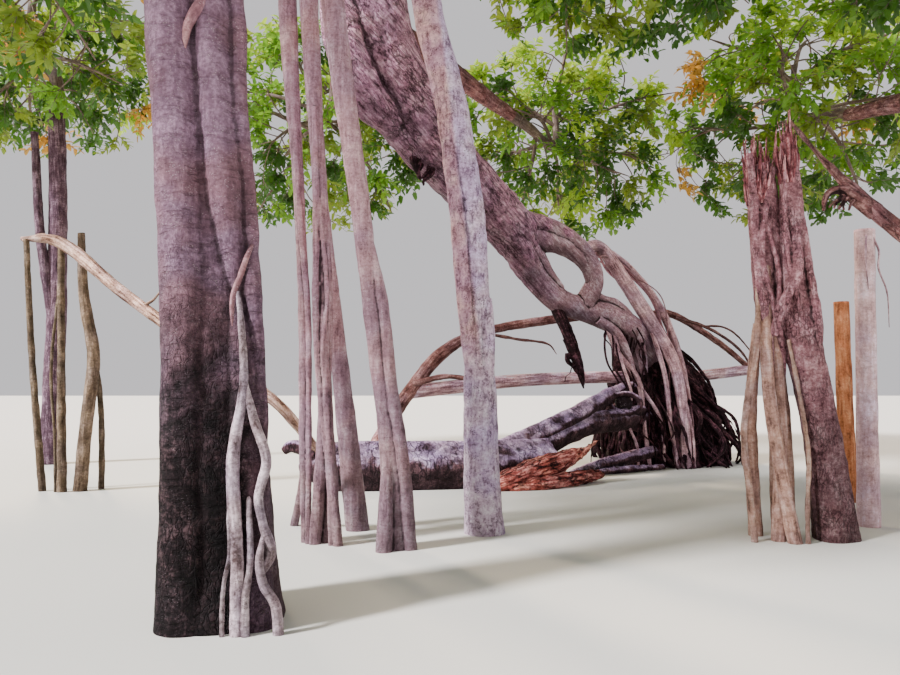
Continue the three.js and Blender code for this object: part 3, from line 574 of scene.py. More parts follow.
PROP_BARK = bark_material("prop bark", ("#e2c6cb", "#b39299", "#604a50"), 0.014, stain_and_ground_shade=0.4, patch_scale=4.0,
                          streaks=0.55, fissures=0.14, creases=0.5, specks=0.75, speck_scale=48.0,
                          speck=paint("#584349"))
for seed, (node, path) in enumerate(FRONT_BOUGHS.items(), 10):
    bough = grow(node + "_bark", [path], PROP_BARK, 36, 0.06, seed, lump_size=0.4, lump_height=0.05)
    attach(bough, "root")
    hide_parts(node)


# Prop stems behind the front trunk
# Aerial roots that came down from the bough above, took root and fused side by side into slim stems.
# Their bark is smooth, pale and pinkish, and they spread into strands at the foot.
PROP_STEMS = {
    "prop_stem_middle": [
        [(0.02, 2.45, 7.3, 0.1), (0.1, 2.5, 5.4, 0.1), (0.2, 2.5, 4.0, 0.075), (0.28, 2.5, 2.8, 0.085),
         (0.31, 2.45, 1.5, 0.066), (0.22, 2.4, BELOW_GROUND, 0.065)],
        [(0.28, 2.5, 2.9, 0.03), (0.3, 2.42, 2.2, 0.044), (0.35, 2.36, 1.45, 0.042),
         (0.52, 2.3, BELOW_GROUND, 0.05)],
        [(0.3, 2.5, 2.2, 0.04), (0.33, 2.55, 1.1, 0.066), (0.36, 2.5, BELOW_GROUND, 0.08)],
        [(0.17, 2.42, 4.6, 0.03), (0.2, 2.41, 3.3, 0.035), (0.22, 2.4, 2.2, 0.036), (0.29, 2.37, 1.4, 0.03),
         (0.36, 2.36, 0.9, 0.028), (0.44, 2.34, BELOW_GROUND, 0.04)],
        [(0.22, 2.42, 3.6, 0.02), (0.33, 2.4, 2.6, 0.022), (0.3, 2.36, 1.9, 0.022), (0.4, 2.36, 1.2, 0.02),
         (0.45, 2.38, 0.5, 0.03), (0.42, 2.42, BELOW_GROUND, 0.04)],
    ],
    "prop_stem_left": [
        [(-0.2, 2.5, 7.2, 0.11), (-0.16, 2.55, 5.6, 0.1), (-0.02, 2.55, 3.8, 0.06), (0.07, 2.55, 2.1, 0.062),
         (0.09, 2.5, 1.0, 0.05), (0.13, 2.5, BELOW_GROUND, 0.045)],
        [(0.09, 2.5, 1.5, 0.02), (0.09, 2.6, 1.1, 0.04), (0, 2.95, 0.6, 0.043),
         (-0.3, 3.7, BELOW_GROUND, 0.05)],
        [(-0.08, 2.5, 4.7, 0.03), (0.0, 2.48, 3.6, 0.034), (0.12, 2.46, 2.4, 0.034), (0.15, 2.44, 1.3, 0.03),
         (0.17, 2.42, BELOW_GROUND, 0.035)],
    ],
    "prop_stem_broad": [
        [(0.18, 2.6, 4.4, 0.06), (0.2, 2.78, 3.65, 0.07), (0.35, 2.95, 2.2, 0.09), (0.47, 3.1, 1.0, 0.118),
         (0.61, 3.2, BELOW_GROUND, 0.14)],
    ],
    "leaning_stem": [
        [(0.22, 2.15, 7.3, 0.13), (0.45, 2.1, 5.2, 0.12), (0.72, 2.1, 3.35, 0.1), (0.87, 2.15, 2.05, 0.09),
         (1.01, 2.2, 1.15, 0.115), (1.12, 2.2, BELOW_GROUND, 0.15)],
        [(0.7, 2.1, 3.4, 0.05), (0.93, 2.1, 2.5, 0.058), (1.04, 2.1, 1.6, 0.06), (1.15, 2.12, 0.9, 0.066),
         (1.24, 2.15, BELOW_GROUND, 0.08)],
        [(1.0, 2.15, 1.0, 0.05), (0.99, 2.08, 0.5, 0.07), (0.97, 2.02, BELOW_GROUND, 0.09)],
    ],
}
STEM_BARK = bark_material("stem bark", ("#ecccd2", "#bd959e", "#6d4f56"), 0.014, follows_limb=False,
                          stain_and_ground_shade=0.88, patch_scale=4.0, streaks=0.5, fissures=0.16, creases=0.5, specks=0.85,
                          speck_scale=48.0, speck=paint("#5e464d"))
for seed, (node, paths) in enumerate(PROP_STEMS.items(), 20):
    stem = grow(node + "_bark", paths, STEM_BARK, 40, 0.03, seed, fused=0.01, lump_size=0.3, lump_height=0.03,
                ridge_size=0.05, ridge_height=0.006)
    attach(stem, "root")
    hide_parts(node)


# Mottled stem
# The stoutest prop: white-grey bark with dark specks, a dark crack down its front, and a rib of younger
# roots that is still fusing to its left side.
MOTTLED_STEM = [
    [(1.25, 3.0, 7.8, 0.16), (1.34, 3.0, 6.1, 0.17), (1.58, 3.0, 5.1, 0.185), (1.83, 3.0, 3.8, 0.155),
     (1.92, 3.0, 2.8, 0.145), (1.94, 3.0, 2.0, 0.165), (1.96, 2.98, 1.3, 0.19), (1.97, 2.98, 0.6, 0.2),
     (2.02, 3.0, BELOW_GROUND, 0.24)],
    [(1.5, 2.98, 5.2, 0.08), (1.6, 2.93, 4.4, 0.09), (1.7, 2.92, 3.6, 0.09), (1.75, 2.91, 3.0, 0.088),
     (1.79, 2.9, 2.45, 0.085), (1.84, 2.9, 2.0, 0.085), (1.88, 2.95, 1.6, 0.06)],
    [(2.04, 2.95, 2.6, 0.05), (2.05, 2.9, 2.1, 0.075), (2.02, 2.9, 1.7, 0.08), (2.0, 2.95, 1.3, 0.06)],
]
YOUNG_BARK = (0.92, 0.72, 0.62, 1)
SEAM_FOOT, SEAM_LEAN = 2.2, 0.12


def mottled_bark_material():
    """White-grey bark with dark specks; the younger roots left of the seam are still pinkish brown."""
    material = new_material("mottled bark")
    place = surface_coordinates(material.node_tree, False)
    bark = bark_surface(place, ("#fdeefc", "#dcc2d8", "#8a7082"), patch_scale=9.0, contrast=1.9, streaks=0.5,
                        fissures=0.4, fissure_scale=16.0, creases=0.35, specks=1.0, speck_scale=34.0,
                        speck=paint("#3f303a"), tinge=(0.8, 0.78, 1.02, 1), tinges=0.8)
    rise = axis_of(place, 2)
    left = minus(minus(SEAM_FOOT, times(rise, SEAM_LEAN)), axis_of(place, 0))
    young = times(spread_out(left, -0.03, 0.03), spread_out(rise, 1.6, 2.3))
    colour = mix_colours(young, bark["Color"], YOUNG_BARK, "MULTIPLY")
    return finish_bark(material, colour, bark["Roughness"], bark["Height"], 0.02, stain_and_ground_shade=0.55, shade=0.6)


mottled_stem = grow("mottled_stem_bark", MOTTLED_STEM, mottled_bark_material(), 60, 0.03, 30, fused=0.011,
                    lump_size=0.35, lump_height=0.05, ridge_size=0.05, ridge_height=0.01)
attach(mottled_stem, "root")
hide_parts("mottled_stem")


# Great limb
# The old tree's main limb, as thick as a man is wide, in rough purple-brown bark. It sweeps down from the
# crown, swells on its left where a second limb has merged with it, and ends in the ring of roots.
LIMB_RADIUS = 0.6
GREAT_LIMB = [
    [(3.2, 8.75, 4.35, 0.22), (2.9, 8.45, 4.52, 0.4), (2.3, 7.9, 4.98, 0.47), (1.55, 7.25, 5.55, 0.52),
     (0.85, 6.65, 6.3, LIMB_RADIUS - 0.02), (0.4, 6.25, 7.3, LIMB_RADIUS), (0.2, 6.0, 8.6, LIMB_RADIUS),
     (0.15, 5.9, 9.7, 0.42)],
    [(2.3, 7.9, 4.9, 0.4), (2.85, 8.4, 4.3, 0.31), (3.15, 8.8, 3.9, 0.24), (3.4, 9.0, 3.62, 0.19)],
    [(2.3, 7.9, 5.05, 0.4), (2.95, 8.45, 4.78, 0.29), (3.5, 8.8, 4.72, 0.21), (3.95, 9.0, 4.6, 0.16)],
    [(-0.12, 5.9, 8.6, 0.28), (-0.1, 5.82, 7.6, 0.31), (0.07, 5.86, 6.7, 0.31), (0.38, 6.07, 6.12, 0.29),
     (0.85, 6.6, 5.88, 0.22), (1.4, 7.0, 5.6, 0.14)],
]
LIMB_LEAN = (0.63, 0.55, -0.55)
LIMB_COLOURS = ("#eec4d6", "#b28399", "#422833")
LIMB_BARK = bark_material("limb bark", LIMB_COLOURS, 0.05, follows_limb=False, lean=LIMB_LEAN, shade=0.7,
                          under=0.7, patch_scale=5.0, contrast=1.25, streaks=0.8, fissures=0.65,
                          fissure_scale=15.0, creases=0.2, specks=0.4, speck_scale=36.0, tinges=0.3)
great_limb = grow("great_limb_bark", GREAT_LIMB, LIMB_BARK, 90, 0.04, 40, fused=0.02, flutes=3,
                  flute_depth=0.05, lump_size=0.45, lump_height=0.14, ridge_size=0.07, ridge_height=0.06,
                  crease_height=0.02)
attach(great_limb, "root")
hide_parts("great_limb")


# Boughs of the great limb
# The limb's own boughs, in the same rough bark, which carry the crown above it and behind it.
LIMB_BOUGHS = {
    "bough_limb_right": [(0.25, 6.0, 8.5, 0.26), (1.6, 6.4, 9.1, 0.22), (2.8, 6.8, 9.7, 0.15)],
    "bough_rear_left": [(0.2, 6.1, 8.3, 0.28), (-0.3, 8.4, 8.6, 0.22), (-0.9, 10.5, 8.3, 0.14)],
    "bough_rear_right": [(0.35, 6.3, 7.6, 0.28), (1.5, 8.7, 7.9, 0.22), (3.0, 10.9, 7.8, 0.14)],
}
BOUGH_BARK = bark_material("bough bark", ("#a37f7a", "#704c4a", "#2f1c1d"), 0.03, patch_scale=5.0,
                           streaks=0.7, fissures=0.6, fissure_scale=14.0, creases=0.3, specks=0.3)
for seed, (node, path) in enumerate(LIMB_BOUGHS.items(), 45):
    bough = grow(node + "_bark", [path], BOUGH_BARK, 36, 0.05, seed, lump_size=0.4, lump_height=0.06,
                 ridge_size=0.07, ridge_height=0.02)
    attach(bough, "root")
    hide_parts(node)


# Ring of fused roots
# Two arms leave the limb's end, close round an oval hole and fuse into one foot that leans on the old
# root plate. The bark is rough where it leaves the limb and smooth and pale towards the foot.
RING = [
    [(2.6, 8.2, 4.6, 0.3), (2.98, 8.55, 4.18, 0.28), (3.27, 8.92, 3.8, 0.26), (3.82, 9.25, 3.33, 0.24),
     (4.3, 9.5, 3.26, 0.24)],
    [(2.7, 8.3, 4.8, 0.26), (3.2, 8.65, 4.74, 0.25), (3.65, 8.9, 4.68, 0.22), (4.25, 9.15, 4.35, 0.19),
     (4.52, 9.3, 3.8, 0.18), (4.35, 9.45, 3.35, 0.22)],
    [(4.1, 9.45, 3.25, 0.22), (4.65, 9.6, 3.15, 0.28), (5.2, 9.75, 2.9, 0.31), (5.6, 10.1, 2.5, 0.33),
     (5.8, 10.5, 2.1, 0.3)],
    [(3.3, 8.75, 4.2, 0.07), (3.6, 8.95, 3.85, 0.05), (3.85, 9.15, 3.55, 0.06), (4.1, 9.3, 3.4, 0.08)],
    [(4.5, 9.4, 3.5, 0.1), (4.75, 9.5, 3.42, 0.08), (5.0, 9.6, 3.35, 0.1), (5.3, 9.65, 3.0, 0.13),
     (5.5, 9.7, 2.5, 0.12), (5.6, 9.75, 1.9, 0.07)],
    [(4.6, 9.4, 3.0, 0.1), (4.95, 9.45, 2.75, 0.1), (5.2, 9.5, 2.3, 0.08), (5.35, 9.55, 1.8, 0.05)],
    [(2.8, 8.45, 4.55, 0.3), (3.25, 8.7, 4.5, 0.27), (3.65, 8.91, 4.48, 0.22), (4.03, 9.06, 4.33, 0.18),
     (4.33, 9.2, 4.06, 0.14), (4.5, 9.32, 3.7, 0.13)],
    [(3.1, 8.6, 4.3, 0.24), (3.34, 8.82, 4.1, 0.18), (3.54, 8.98, 3.85, 0.13), (3.82, 9.17, 3.58, 0.1)],
]
PALE_FROM, PALE_TO = 2.7, 4.0


def ring_bark_material():
    """The limb's rough bark, turning into the pale smooth bark of roots along the ring."""
    material = new_material("ring bark")
    place = surface_coordinates(material.node_tree, False)
    turned = surface_coordinates(material.node_tree, False, LIMB_LEAN)
    rough = bark_surface(turned, LIMB_COLOURS, patch_scale=4.0, contrast=1.5, streaks=0.8, fissures=0.8,
                         fissure_scale=15.0, creases=0.2, specks=0.3, tinges=0.3)
    smooth = bark_surface(turned, ("#efd9e2", "#a6838d", "#472f38"), patch_scale=2.5, streaks=0.5,
                          fissures=0.05, creases=0.3, specks=0.5, speck_scale=50.0, speck=paint("#5a434d"))
    across = plus(axis_of(place, 0), ripple(place, 2.2, 2.0, 4.0))
    pale = spread_out(across, PALE_FROM, PALE_TO)
    colour = mix_colours(pale, rough["Color"], smooth["Color"])
    height = mix_values(pale, rough["Height"], smooth["Height"])
    return finish_bark(material, colour, smooth["Roughness"], height, 0.025, under=0.75)


ring = grow("ring_of_roots", RING, ring_bark_material(), 48, 0.03, 50, fused=0.015, lump_size=0.3,
            lump_height=0.05, ridge_size=0.06, ridge_height=0.012)
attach(ring, "root")
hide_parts("ring_foot", "ring_lower_arm", "ring_upper_arm")


# Roots that hang from the ring
# One thick pale root arches over the ring and down to the ground, slimmer ones run beside it, and thin
# ones hang in loose curves below. A dead stub with flaking dark bark points down from the lower arm, and
# the same dark bark hangs ragged from a scar under the great limb.
def wandering(start, end, wobble, girths, seed, spots=6):
    """A path from start to end that strays sideways by chance, with its girth at the first and last spot."""
    chance = np.random.default_rng(seed)
    shares = np.linspace(0, 1, spots)
    line = np.outer(1 - shares, start) + np.outer(shares, end)
    line[1:-1] += chance.normal(0, wobble, (spots - 2, 3)) * (1, 1, 0.4)
    return np.column_stack([line, np.linspace(*girths, spots)])


ARCH_ROOTS = {
    "arch_root_main": [
        [(4.2, 9.12, 4.25, 0.07), (4.42, 9.35, 4.48, 0.1), (4.7, 9.62, 4.52, 0.12), (5.2, 9.7, 3.85, 0.145),
         (5.8, 9.7, 2.85, 0.15), (6.2, 9.7, 2.1, 0.125), (6.4, 9.8, 0.9, 0.11),
         (6.45, 9.85, BELOW_GROUND, 0.13)],
        [(5.75, 9.65, 2.75, 0.05), (5.97, 9.6, 1.9, 0.05), (6.1, 9.7, 0.9, 0.045),
         (6.3, 9.8, BELOW_GROUND, 0.05)],
        [(4.2, 9.15, 4.2, 0.05), (4.4, 9.45, 4.45, 0.08), (4.72, 9.75, 4.6, 0.075), (5.0, 9.8, 4.35, 0.06),
         (5.3, 9.8, 3.9, 0.05)],
    ],
    "arch_root_outer": [
        [(4.3, 9.3, 4.3, 0.05), (4.75, 9.75, 4.5, 0.06), (5.25, 10, 4.3, 0.06), (6.0, 10.1, 3.4, 0.085),
         (6.4, 10.1, 2.4, 0.075), (6.6, 10.1, 1.4, 0.055), (6.72, 10.1, BELOW_GROUND, 0.05)],
        [(4.3, 9.4, 4.2, 0.03), (4.75, 9.85, 4.42, 0.04), (5.4, 10.1, 4.2, 0.045), (6.15, 10.15, 3.1, 0.05),
         (6.5, 10.0, 1.9, 0.04), (6.6, 9.95, 0.9, 0.03), (6.64, 9.95, BELOW_GROUND, 0.03)],
        [(4.5, 9.4, 4.25, 0.02), (4.9, 9.6, 4.3, 0.03), (5.5, 9.7, 3.6, 0.035), (6.05, 9.75, 2.6, 0.035),
         (6.35, 9.7, 1.6, 0.03), (6.56, 9.75, 0.7, 0.025), (6.6, 9.8, BELOW_GROUND, 0.025)],
    ],
    "arch_root_inner": [
        [(4.75, 9.5, 3.0, 0.06), (5.0, 9.5, 2.35, 0.06), (5.4, 9.5, 1.8, 0.06), (5.52, 9.6, 1.0, 0.045),
         (5.7, 9.7, BELOW_GROUND, 0.04)],
        [(5.45, 9.5, 1.65, 0.04), (5.88, 9.6, 0.95, 0.035), (5.95, 9.8, BELOW_GROUND, 0.035)],
        [(4.9, 9.45, 2.8, 0.03), (5.05, 9.3, 2.1, 0.03), (5.2, 9.25, 1.5, 0.028), (5.1, 9.2, 1.0, 0.024),
         (5.3, 9.3, 0.5, 0.024), (5.35, 9.4, BELOW_GROUND, 0.02)],
    ],
}
ROOT_BARK = bark_material("root bark", ("#f2d4d6", "#b49296", "#51373c"), 0.014, under=0.65, patch_scale=4.0,
                          contrast=1.25, streaks=0.7, fissures=0.2, fissure_scale=14.0, creases=0.5,
                          specks=0.5, speck=paint("#604a4e"))
for seed, (node, paths) in enumerate(ARCH_ROOTS.items(), 55):
    roots = grow(node + "_bark", paths, ROOT_BARK, 14, 0.04, seed, lump_size=0.15, lump_height=0.03,
                 ridge_size=0.04, ridge_height=0.006)
    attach(roots, "root")
    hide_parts(node)

STRAND_SPOTS = [
    (5.05, 9.8, 4.3), (5.7, 9.85, 3.5), (6.2, 9.9, 2.5), (6.5, 9.95, 1.3), (6.6, 9.95, BELOW_GROUND),
]


def arch_strand(number):
    """A thin strand that runs down with the arching roots and strays from them by chance."""
    strays = np.random.default_rng(140 + number).normal(0, (0.1, 0.06, 0.12), (len(STRAND_SPOTS), 3))
    girth = 0.012 + 0.004 * number
    return [(4.5 + 0.03 * number, 9.45, 4.3, 0.02), *[(*spot, girth) for spot in STRAND_SPOTS + strays]]


arch_strands = grow("arch_root_strands", [arch_strand(k) for k in range(6)], BROWN_ROOT_BARK, 8, 0.05, 54,
                    lump_size=0.15, lump_height=0.015)
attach(arch_strands, "root")
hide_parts("arch_root_outer")

DARK_ROOT_BARK = bark_material("dark root bark", ("#5c3a42", "#1c0c10", "#060203"), 0.02, under=0.5,
                               patch_scale=6.0, contrast=1.6, streaks=0.7, fissures=0.6, fissure_scale=14.0,
                               creases=0.3, specks=0.0)
stub = grow("hanging_stub_bark", [
    [(3.7, 9.2, 3.3, 0.13), (4.03, 9.2, 2.5, 0.11), (4.2, 9.2, 1.9, 0.075), (4.25, 9.2, 1.62, 0.01)],
    *[wandering((3.85 + 0.05 * k, 9.2, 2.9 - 0.3 * k), (4.15 + 0.06 * k, 9.12, 1.9 - 0.12 * k), 0.03,
                (0.06, 0.004), 90 + k) for k in range(3)],
    wandering((4.1, 9.15, 2.2), (3.85, 9.0, 1.75), 0.03, (0.014, 0.006), 94),
], DARK_ROOT_BARK, 24, 0.02, 58, lump_size=0.12, lump_height=0.04, ridge_size=0.05, ridge_height=0.03)
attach(stub, "root")
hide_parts("hanging_stub")

scar = grow("limb_scar", [
    [(1.2, 6.95, 5.75, 0.1), (1.02, 6.72, 5.5, 0.09), (1.06, 6.68, 5.28, 0.065), (1.13, 6.66, 5.04, 0.01)],
    *[wandering((1.12 + 0.05 * k, 6.8, 5.62 - 0.09 * k), (1.0 + 0.045 * k, 6.64, 5.36 - 0.1 * k), 0.03,
                (0.06, 0.008), 150 + k, 4) for k in range(5)],
], DARK_ROOT_BARK, 20, 0.02, 57, lump_size=0.1, lump_height=0.05, ridge_size=0.04, ridge_height=0.03)
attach(scar, "root")
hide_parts("great_limb")

strings = grow("hanging_strings", [
    *[wandering((4.8 + 0.1 * k, 9.5, 2.9 - 0.05 * k), (5.2 + 0.14 * k, 9.6, BELOW_GROUND), 0.11,
                (0.024, 0.014), 60 + k, 9) for k in range(8)],
    *[wandering((4.8 + 0.12 * k, 9.5, 2.85), (4.9 + 0.15 * k, 9.45, 1.9 - 0.1 * k), 0.08,
                (0.016, 0.005), 75 + k) for k in range(6)],
], DARK_ROOT_BARK, 8, 0.04, 60, lump_size=0.1, lump_height=0.01)
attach(strings, "root")


# Root plate of the old trunk
# The underside of the overturned trunk stands up from the ground, nearly black, as a tangle of roots of
# all sizes over a rough core. Roots fan out from under the ring's foot and reach down to the soil.
GOLDEN_ANGLE = math.pi * (3 - math.sqrt(5))
PLATE_CENTRE = np.array((6.35, 11.1))
PLATE_TOP = np.array((5.75, 10.45))
PLATE_RADIUS = 1.1
PLATE_ROOTS = 150
SIDE_ROOTS = 12
PLATE_CORE = [
    (5.6, 10.4, 2.8, 0.34), (6.0, 10.85, 2.0, 0.78), (6.4, 11.2, 1.0, 1.06), (6.4, 11.1, BELOW_GROUND, 1.28),
]


def plate_root(number):
    """One root of the plate, which arches from high on the core out and down to the ground."""
    chance = np.random.default_rng(100 + number)
    turn = number * GOLDEN_ANGLE
    out = np.array((math.cos(turn), math.sin(turn), 0))
    high = chance.uniform(0.9, 2.7)
    lean = (high - 0.4) / 2.4
    top = PLATE_CENTRE * (1 - lean) + PLATE_TOP * lean
    start = np.array((*top, high)) + out * PLATE_RADIUS * (0.92 - lean)
    end = np.array((*PLATE_CENTRE, chance.uniform(-0.3, 0.25)))
    end = end + out * PLATE_RADIUS * chance.uniform(1.0, 1.35)
    line = np.array([start, (start + end) / 2, end, end])
    line[1] += out * chance.uniform(0.05, 0.3) + (0, 0, chance.uniform(0.0, 0.3))
    line[2] += (0, 0, 0.45 * (line[1, 2] - line[3, 2]))
    line[1:3] += chance.normal(0, 0.13, (2, 3))
    line[3] += (*chance.normal(0, 0.15, 2), 0)
    thick = chance.uniform(0.012, 0.09)
    return np.column_stack([line, thick * np.array((1, 0.9, 0.7, 0.4))])


def side_root(number):
    """One of the roots that run from under the ring's foot over the plate's right side to the ground."""
    chance = np.random.default_rng(300 + number)
    drop, reach = 0.11 * number, chance.uniform(-0.1, 0.25)
    line = np.array([
        (5.7, 10.35, 2.75 - drop / 2), (6.5 + reach, 10.5, 2.45 - drop), (7.1 + reach, 10.55, 1.7 - drop),
        (7.3 + reach, 10.5, 0.7 - 0.4 * drop), (7.4 + reach, 10.5, -0.2),
    ])
    line[1:4] += chance.normal(0, 0.07, (3, 3))
    return np.column_stack([line, chance.uniform(0.03, 0.08) * np.array((1, 1, 0.8, 0.6, 0.5))])


root_plate = grow("root_plate_core", [PLATE_CORE], DARK_ROOT_BARK, 90, 0.05, 59, flutes=7, flute_depth=0.12,
                  lump_size=0.4, lump_height=0.35, ridge_size=0.16, ridge_height=0.16)
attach(root_plate, "root")
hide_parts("root_plate")
plate_roots = grow("root_plate_roots", [
    *[plate_root(k) for k in range(PLATE_ROOTS)], *[side_root(k) for k in range(SIDE_ROOTS)],
], DARK_ROOT_BARK, 8, 0.06, 61, lump_size=0.16, lump_height=0.09, ridge_size=0.05, ridge_height=0.02)
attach(plate_roots, "root")


# Overturned old trunk
# The old trunk lies on the ground in weathered dark bark, and its fork rises towards the root plate. One
# arm of the fork ends in an open hollow, and a low dead limb lies under it.
LOG_RADIUS = 0.41
HOLLOW = np.array((5.03, 9.08, 1.33))
FALLEN = {
    "fallen_log": [
        [(-0.75, 6.5, 0.4, 0.13), (-0.3, 6.5, 0.38, 0.35), (0.9, 6.7, 0.34, LOG_RADIUS),
         (2.1, 7.0, 0.32, LOG_RADIUS), (3.3, 7.6, 0.36, 0.38)],
        [(-0.5, 6.35, 0.62, 0.13), (-0.85, 6.3, 0.7, 0.1), (-0.98, 6.3, 0.62, 0.06)],
    ],
    "fallen_fork_upper": [
        [(2.4, 7.2, 0.5, 0.22), (3.4, 7.9, 0.88, 0.21), (4.2, 8.6, 1.22, 0.18), (4.8, 9.2, 1.52, 0.13),
         (5.2, 9.7, 1.62, 0.12), (5.75, 10.5, 1.55, 0.22)],
        [(*(HOLLOW + 0.3 * np.array((math.cos(t), 0.15 * math.sin(t), 0.62 * math.sin(t)))), 0.055)
         for t in np.linspace(0.1, 2 * math.pi + 0.1, 13)],
    ],
    "fallen_fork_lower": [
        [(3.1, 7.6, 0.6, 0.23), (4.05, 8.4, 0.92, 0.2), (4.85, 9.1, 1.0, 0.21), (5.8, 10.3, 1.0, 0.3)],
        [(3.6, 8.0, 0.85, 0.09), (4.3, 8.55, 1.08, 0.1), (4.9, 9.0, 1.12, 0.09), (5.5, 9.6, 1.2, 0.1)],
    ],
    "fallen_low_limb": [
        [(3.8, 8.3, 0.05, 0.05), (4.3, 8.7, 0.14, 0.1), (5.3, 9.35, 0.3, 0.12), (6.1, 10.2, 0.35, 0.12)],
        [(3.6, 8.1, 0.02, 0.03), (4.4, 8.6, 0.05, 0.06), (5.2, 9.1, 0.06, 0.07), (5.9, 9.6, 0.05, 0.05)],
    ],
}


def fallen_bark_material():
    """Weathered bark with painted light: pale purple-grey on faces that look up, and dark red-brown as
    painted shade on faces that look down.
    """
    material = new_material("fallen bark")
    place = surface_coordinates(material.node_tree, False)
    shared = {"patch_scale": 4.5, "contrast": 1.4, "streaks": 0.3, "fissure_scale": 12.0, "creases": 0.3}
    lit_top_bark = bark_surface(place, ("#dcc8dc", "#98839a", "#41323c"), fissures=0.7, specks=0.3, **shared)
    shaded_under_bark = bark_surface(place, ("#74555a", "#38262b", "#120a0c"), fissures=0.9, specks=0.1, tinges=0.1,
                         **shared)
    # Painted light: the share of the lit copy grows as the face looks up.
    share = plus(noted(material.node_tree, "upward", -1.0, 1.0), ripple(place, 4.0, 1.6, 5.0))
    colour = mix_colours(spread_out(share, 0.6, 1.05), shaded_under_bark["Color"], lit_top_bark["Color"])
    return finish_bark(material, colour, lit_top_bark["Roughness"], lit_top_bark["Height"], 0.035, under=0.6)


FALLEN_BARK = fallen_bark_material()
for seed, (node, paths) in enumerate(FALLEN.items(), 62):
    fallen = grow(node + "_bark", paths, FALLEN_BARK, 60, 0.03, seed, fused=0.018, flutes=5, flute_depth=0.06,
                  lump_size=0.35, lump_height=0.07, ridge_size=0.08, ridge_height=0.045, crease_height=0.015)
    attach(fallen, "root")
    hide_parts(node)

# A dark plug that fills the hollow's opening as painted shade.
HOLLOW_SHADE = bark_material("hollow shade", ("#2a1f20", "#171011", "#0a0707"), 0.01)
hollow = grow("fork_hollow", [[
    (*(HOLLOW + (-0.02, 0.35, 0.05)), 0.1), (*(HOLLOW + (0, 0.1, 0)), 0.17), (*(HOLLOW + (0, 0.04, 0)), 0.15),
]], HOLLOW_SHADE, 24, 0.03, 66)
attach(hollow, "root")


# Rotten slab
# A slab of heartwood that has come away from the fallen trunk, decayed to splintered orange-brown wood.
SLAB = [
    [(2.35, 6.45, 0.12, 0.14), (2.9, 6.75, 0.26, 0.22), (3.5, 7.2, 0.4, 0.2), (4.0, 7.6, 0.56, 0.06)],
    [(2.3, 6.4, 0.05, 0.1), (3.1, 6.7, 0.08, 0.16), (3.9, 7.3, 0.12, 0.14), (4.3, 7.7, 0.1, 0.05)],
    *[wandering((2.4 + 0.2 * k, 6.4 + 0.12 * k, 0.1 + 0.05 * k),
                (3.0 + 0.17 * k, 6.6 + 0.14 * k, 0.36 + 0.05 * k), 0.04, (0.06, 0.012), 120 + k, 4)
      for k in range(8)],
]
ROTTEN_WOOD = bark_material("rotten wood", ("#e09a88", "#924a40", "#260d0b"), 0.04, patch_scale=6.0,
                            streaks=1.3, fissures=0.9, fissure_scale=12.0, creases=0.2, specks=0.0)
slab = grow("rotten_slab_wood", SLAB, ROTTEN_WOOD, 48, 0.025, 67, flutes=2, flute_depth=0.25, lump_size=0.2,
            lump_height=0.1, ridge_size=0.06, ridge_height=0.08)
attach(slab, "root")
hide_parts("rotten_slab")


# Arched limbs and pale pole
# Thin dead limbs arch through the roots on either side, and a long bare pole of bleached wood lies level
# across the fallen trunk.
ARCHED_LIMBS = {
    "arched_root_left": [
        [(0.35, 7.0, 0.6, 0.12), (0.8, 8.9, 1.5, 0.13), (1.45, 9.1, 2.3, 0.13), (2.1, 9.2, 2.68, 0.09),
         (3.45, 9.8, 3.0, 0.095), (4.7, 9.9, 3.15, 0.08)],
        [(0.9, 8.9, 1.7, 0.06), (1.6, 8.85, 1.85, 0.05), (2.2, 8.9, 1.7, 0.03), (2.5, 8.9, 1.45, 0.01)],
        [(2.3, 9.3, 2.72, 0.035), (3.0, 9.4, 2.6, 0.03), (3.6, 9.4, 2.5, 0.02), (3.75, 9.35, 2.3, 0.006)],
    ],
    "arched_root_right": [
        [(5.6, 10.4, 2.9, 0.1), (6.3, 10.8, 3.3, 0.08), (7.4, 10.9, 2.75, 0.07), (8.35, 11.1, 2.05, 0.055)],
        [(6.6, 10.8, 3.2, 0.04), (7.3, 10.8, 2.95, 0.035), (8.0, 10.9, 2.5, 0.03), (8.4, 11.0, 1.95, 0.02)],
        [(7.0, 10.85, 3.0, 0.025), (7.7, 10.8, 2.95, 0.022), (8.2, 10.85, 2.5, 0.016),
         (8.45, 10.9, 2.1, 0.008)],
    ],
}
ARCHED_BARK = bark_material("arched limb bark", ("#b08d86", "#73504a", "#35201c"), 0.014, under=0.6,
                            patch_scale=4.0, contrast=1.4, streaks=0.8, fissures=0.3, fissure_scale=14.0,
                            creases=0.4, specks=0.5, speck=paint("#2b1a17"))
for seed, (node, paths) in enumerate(ARCHED_LIMBS.items(), 70):
    limbs = grow(node + "_bark", paths, ARCHED_BARK, 24, 0.04, seed, lump_size=0.2, lump_height=0.04,
                 ridge_size=0.05, ridge_height=0.01)
    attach(limbs, "root")
    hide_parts(node)

POLES = {
    "pale_pole_left": [(0.8, 9.0, 1.55, 0.14), (3.0, 9.75, 1.78, 0.13), (5.9, 10.8, 1.9, 0.12)],
    "pale_pole_right": [(6.4, 10.85, 1.82, 0.12), (8.35, 11.1, 2.05, 0.115)],
}
POLE_WOOD = bark_material("pole wood", ("#ecd9de", "#b8999f", "#61464b"), 0.01, under=0.55, patch_scale=3.0,
                          contrast=1.4, streaks=1.1, fissures=0.2, creases=0.2, specks=0.4,
                          speck=paint("#5c4246"))
for seed, (node, path) in enumerate(POLES.items(), 73):
    pole = grow(node + "_wood", [path], POLE_WOOD, 28, 0.06, seed, lump_size=0.5, lump_height=0.02,
                ridge_size=0.04, ridge_height=0.004, crease_height=0.0)
    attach(pole, "root")
    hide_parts(node)


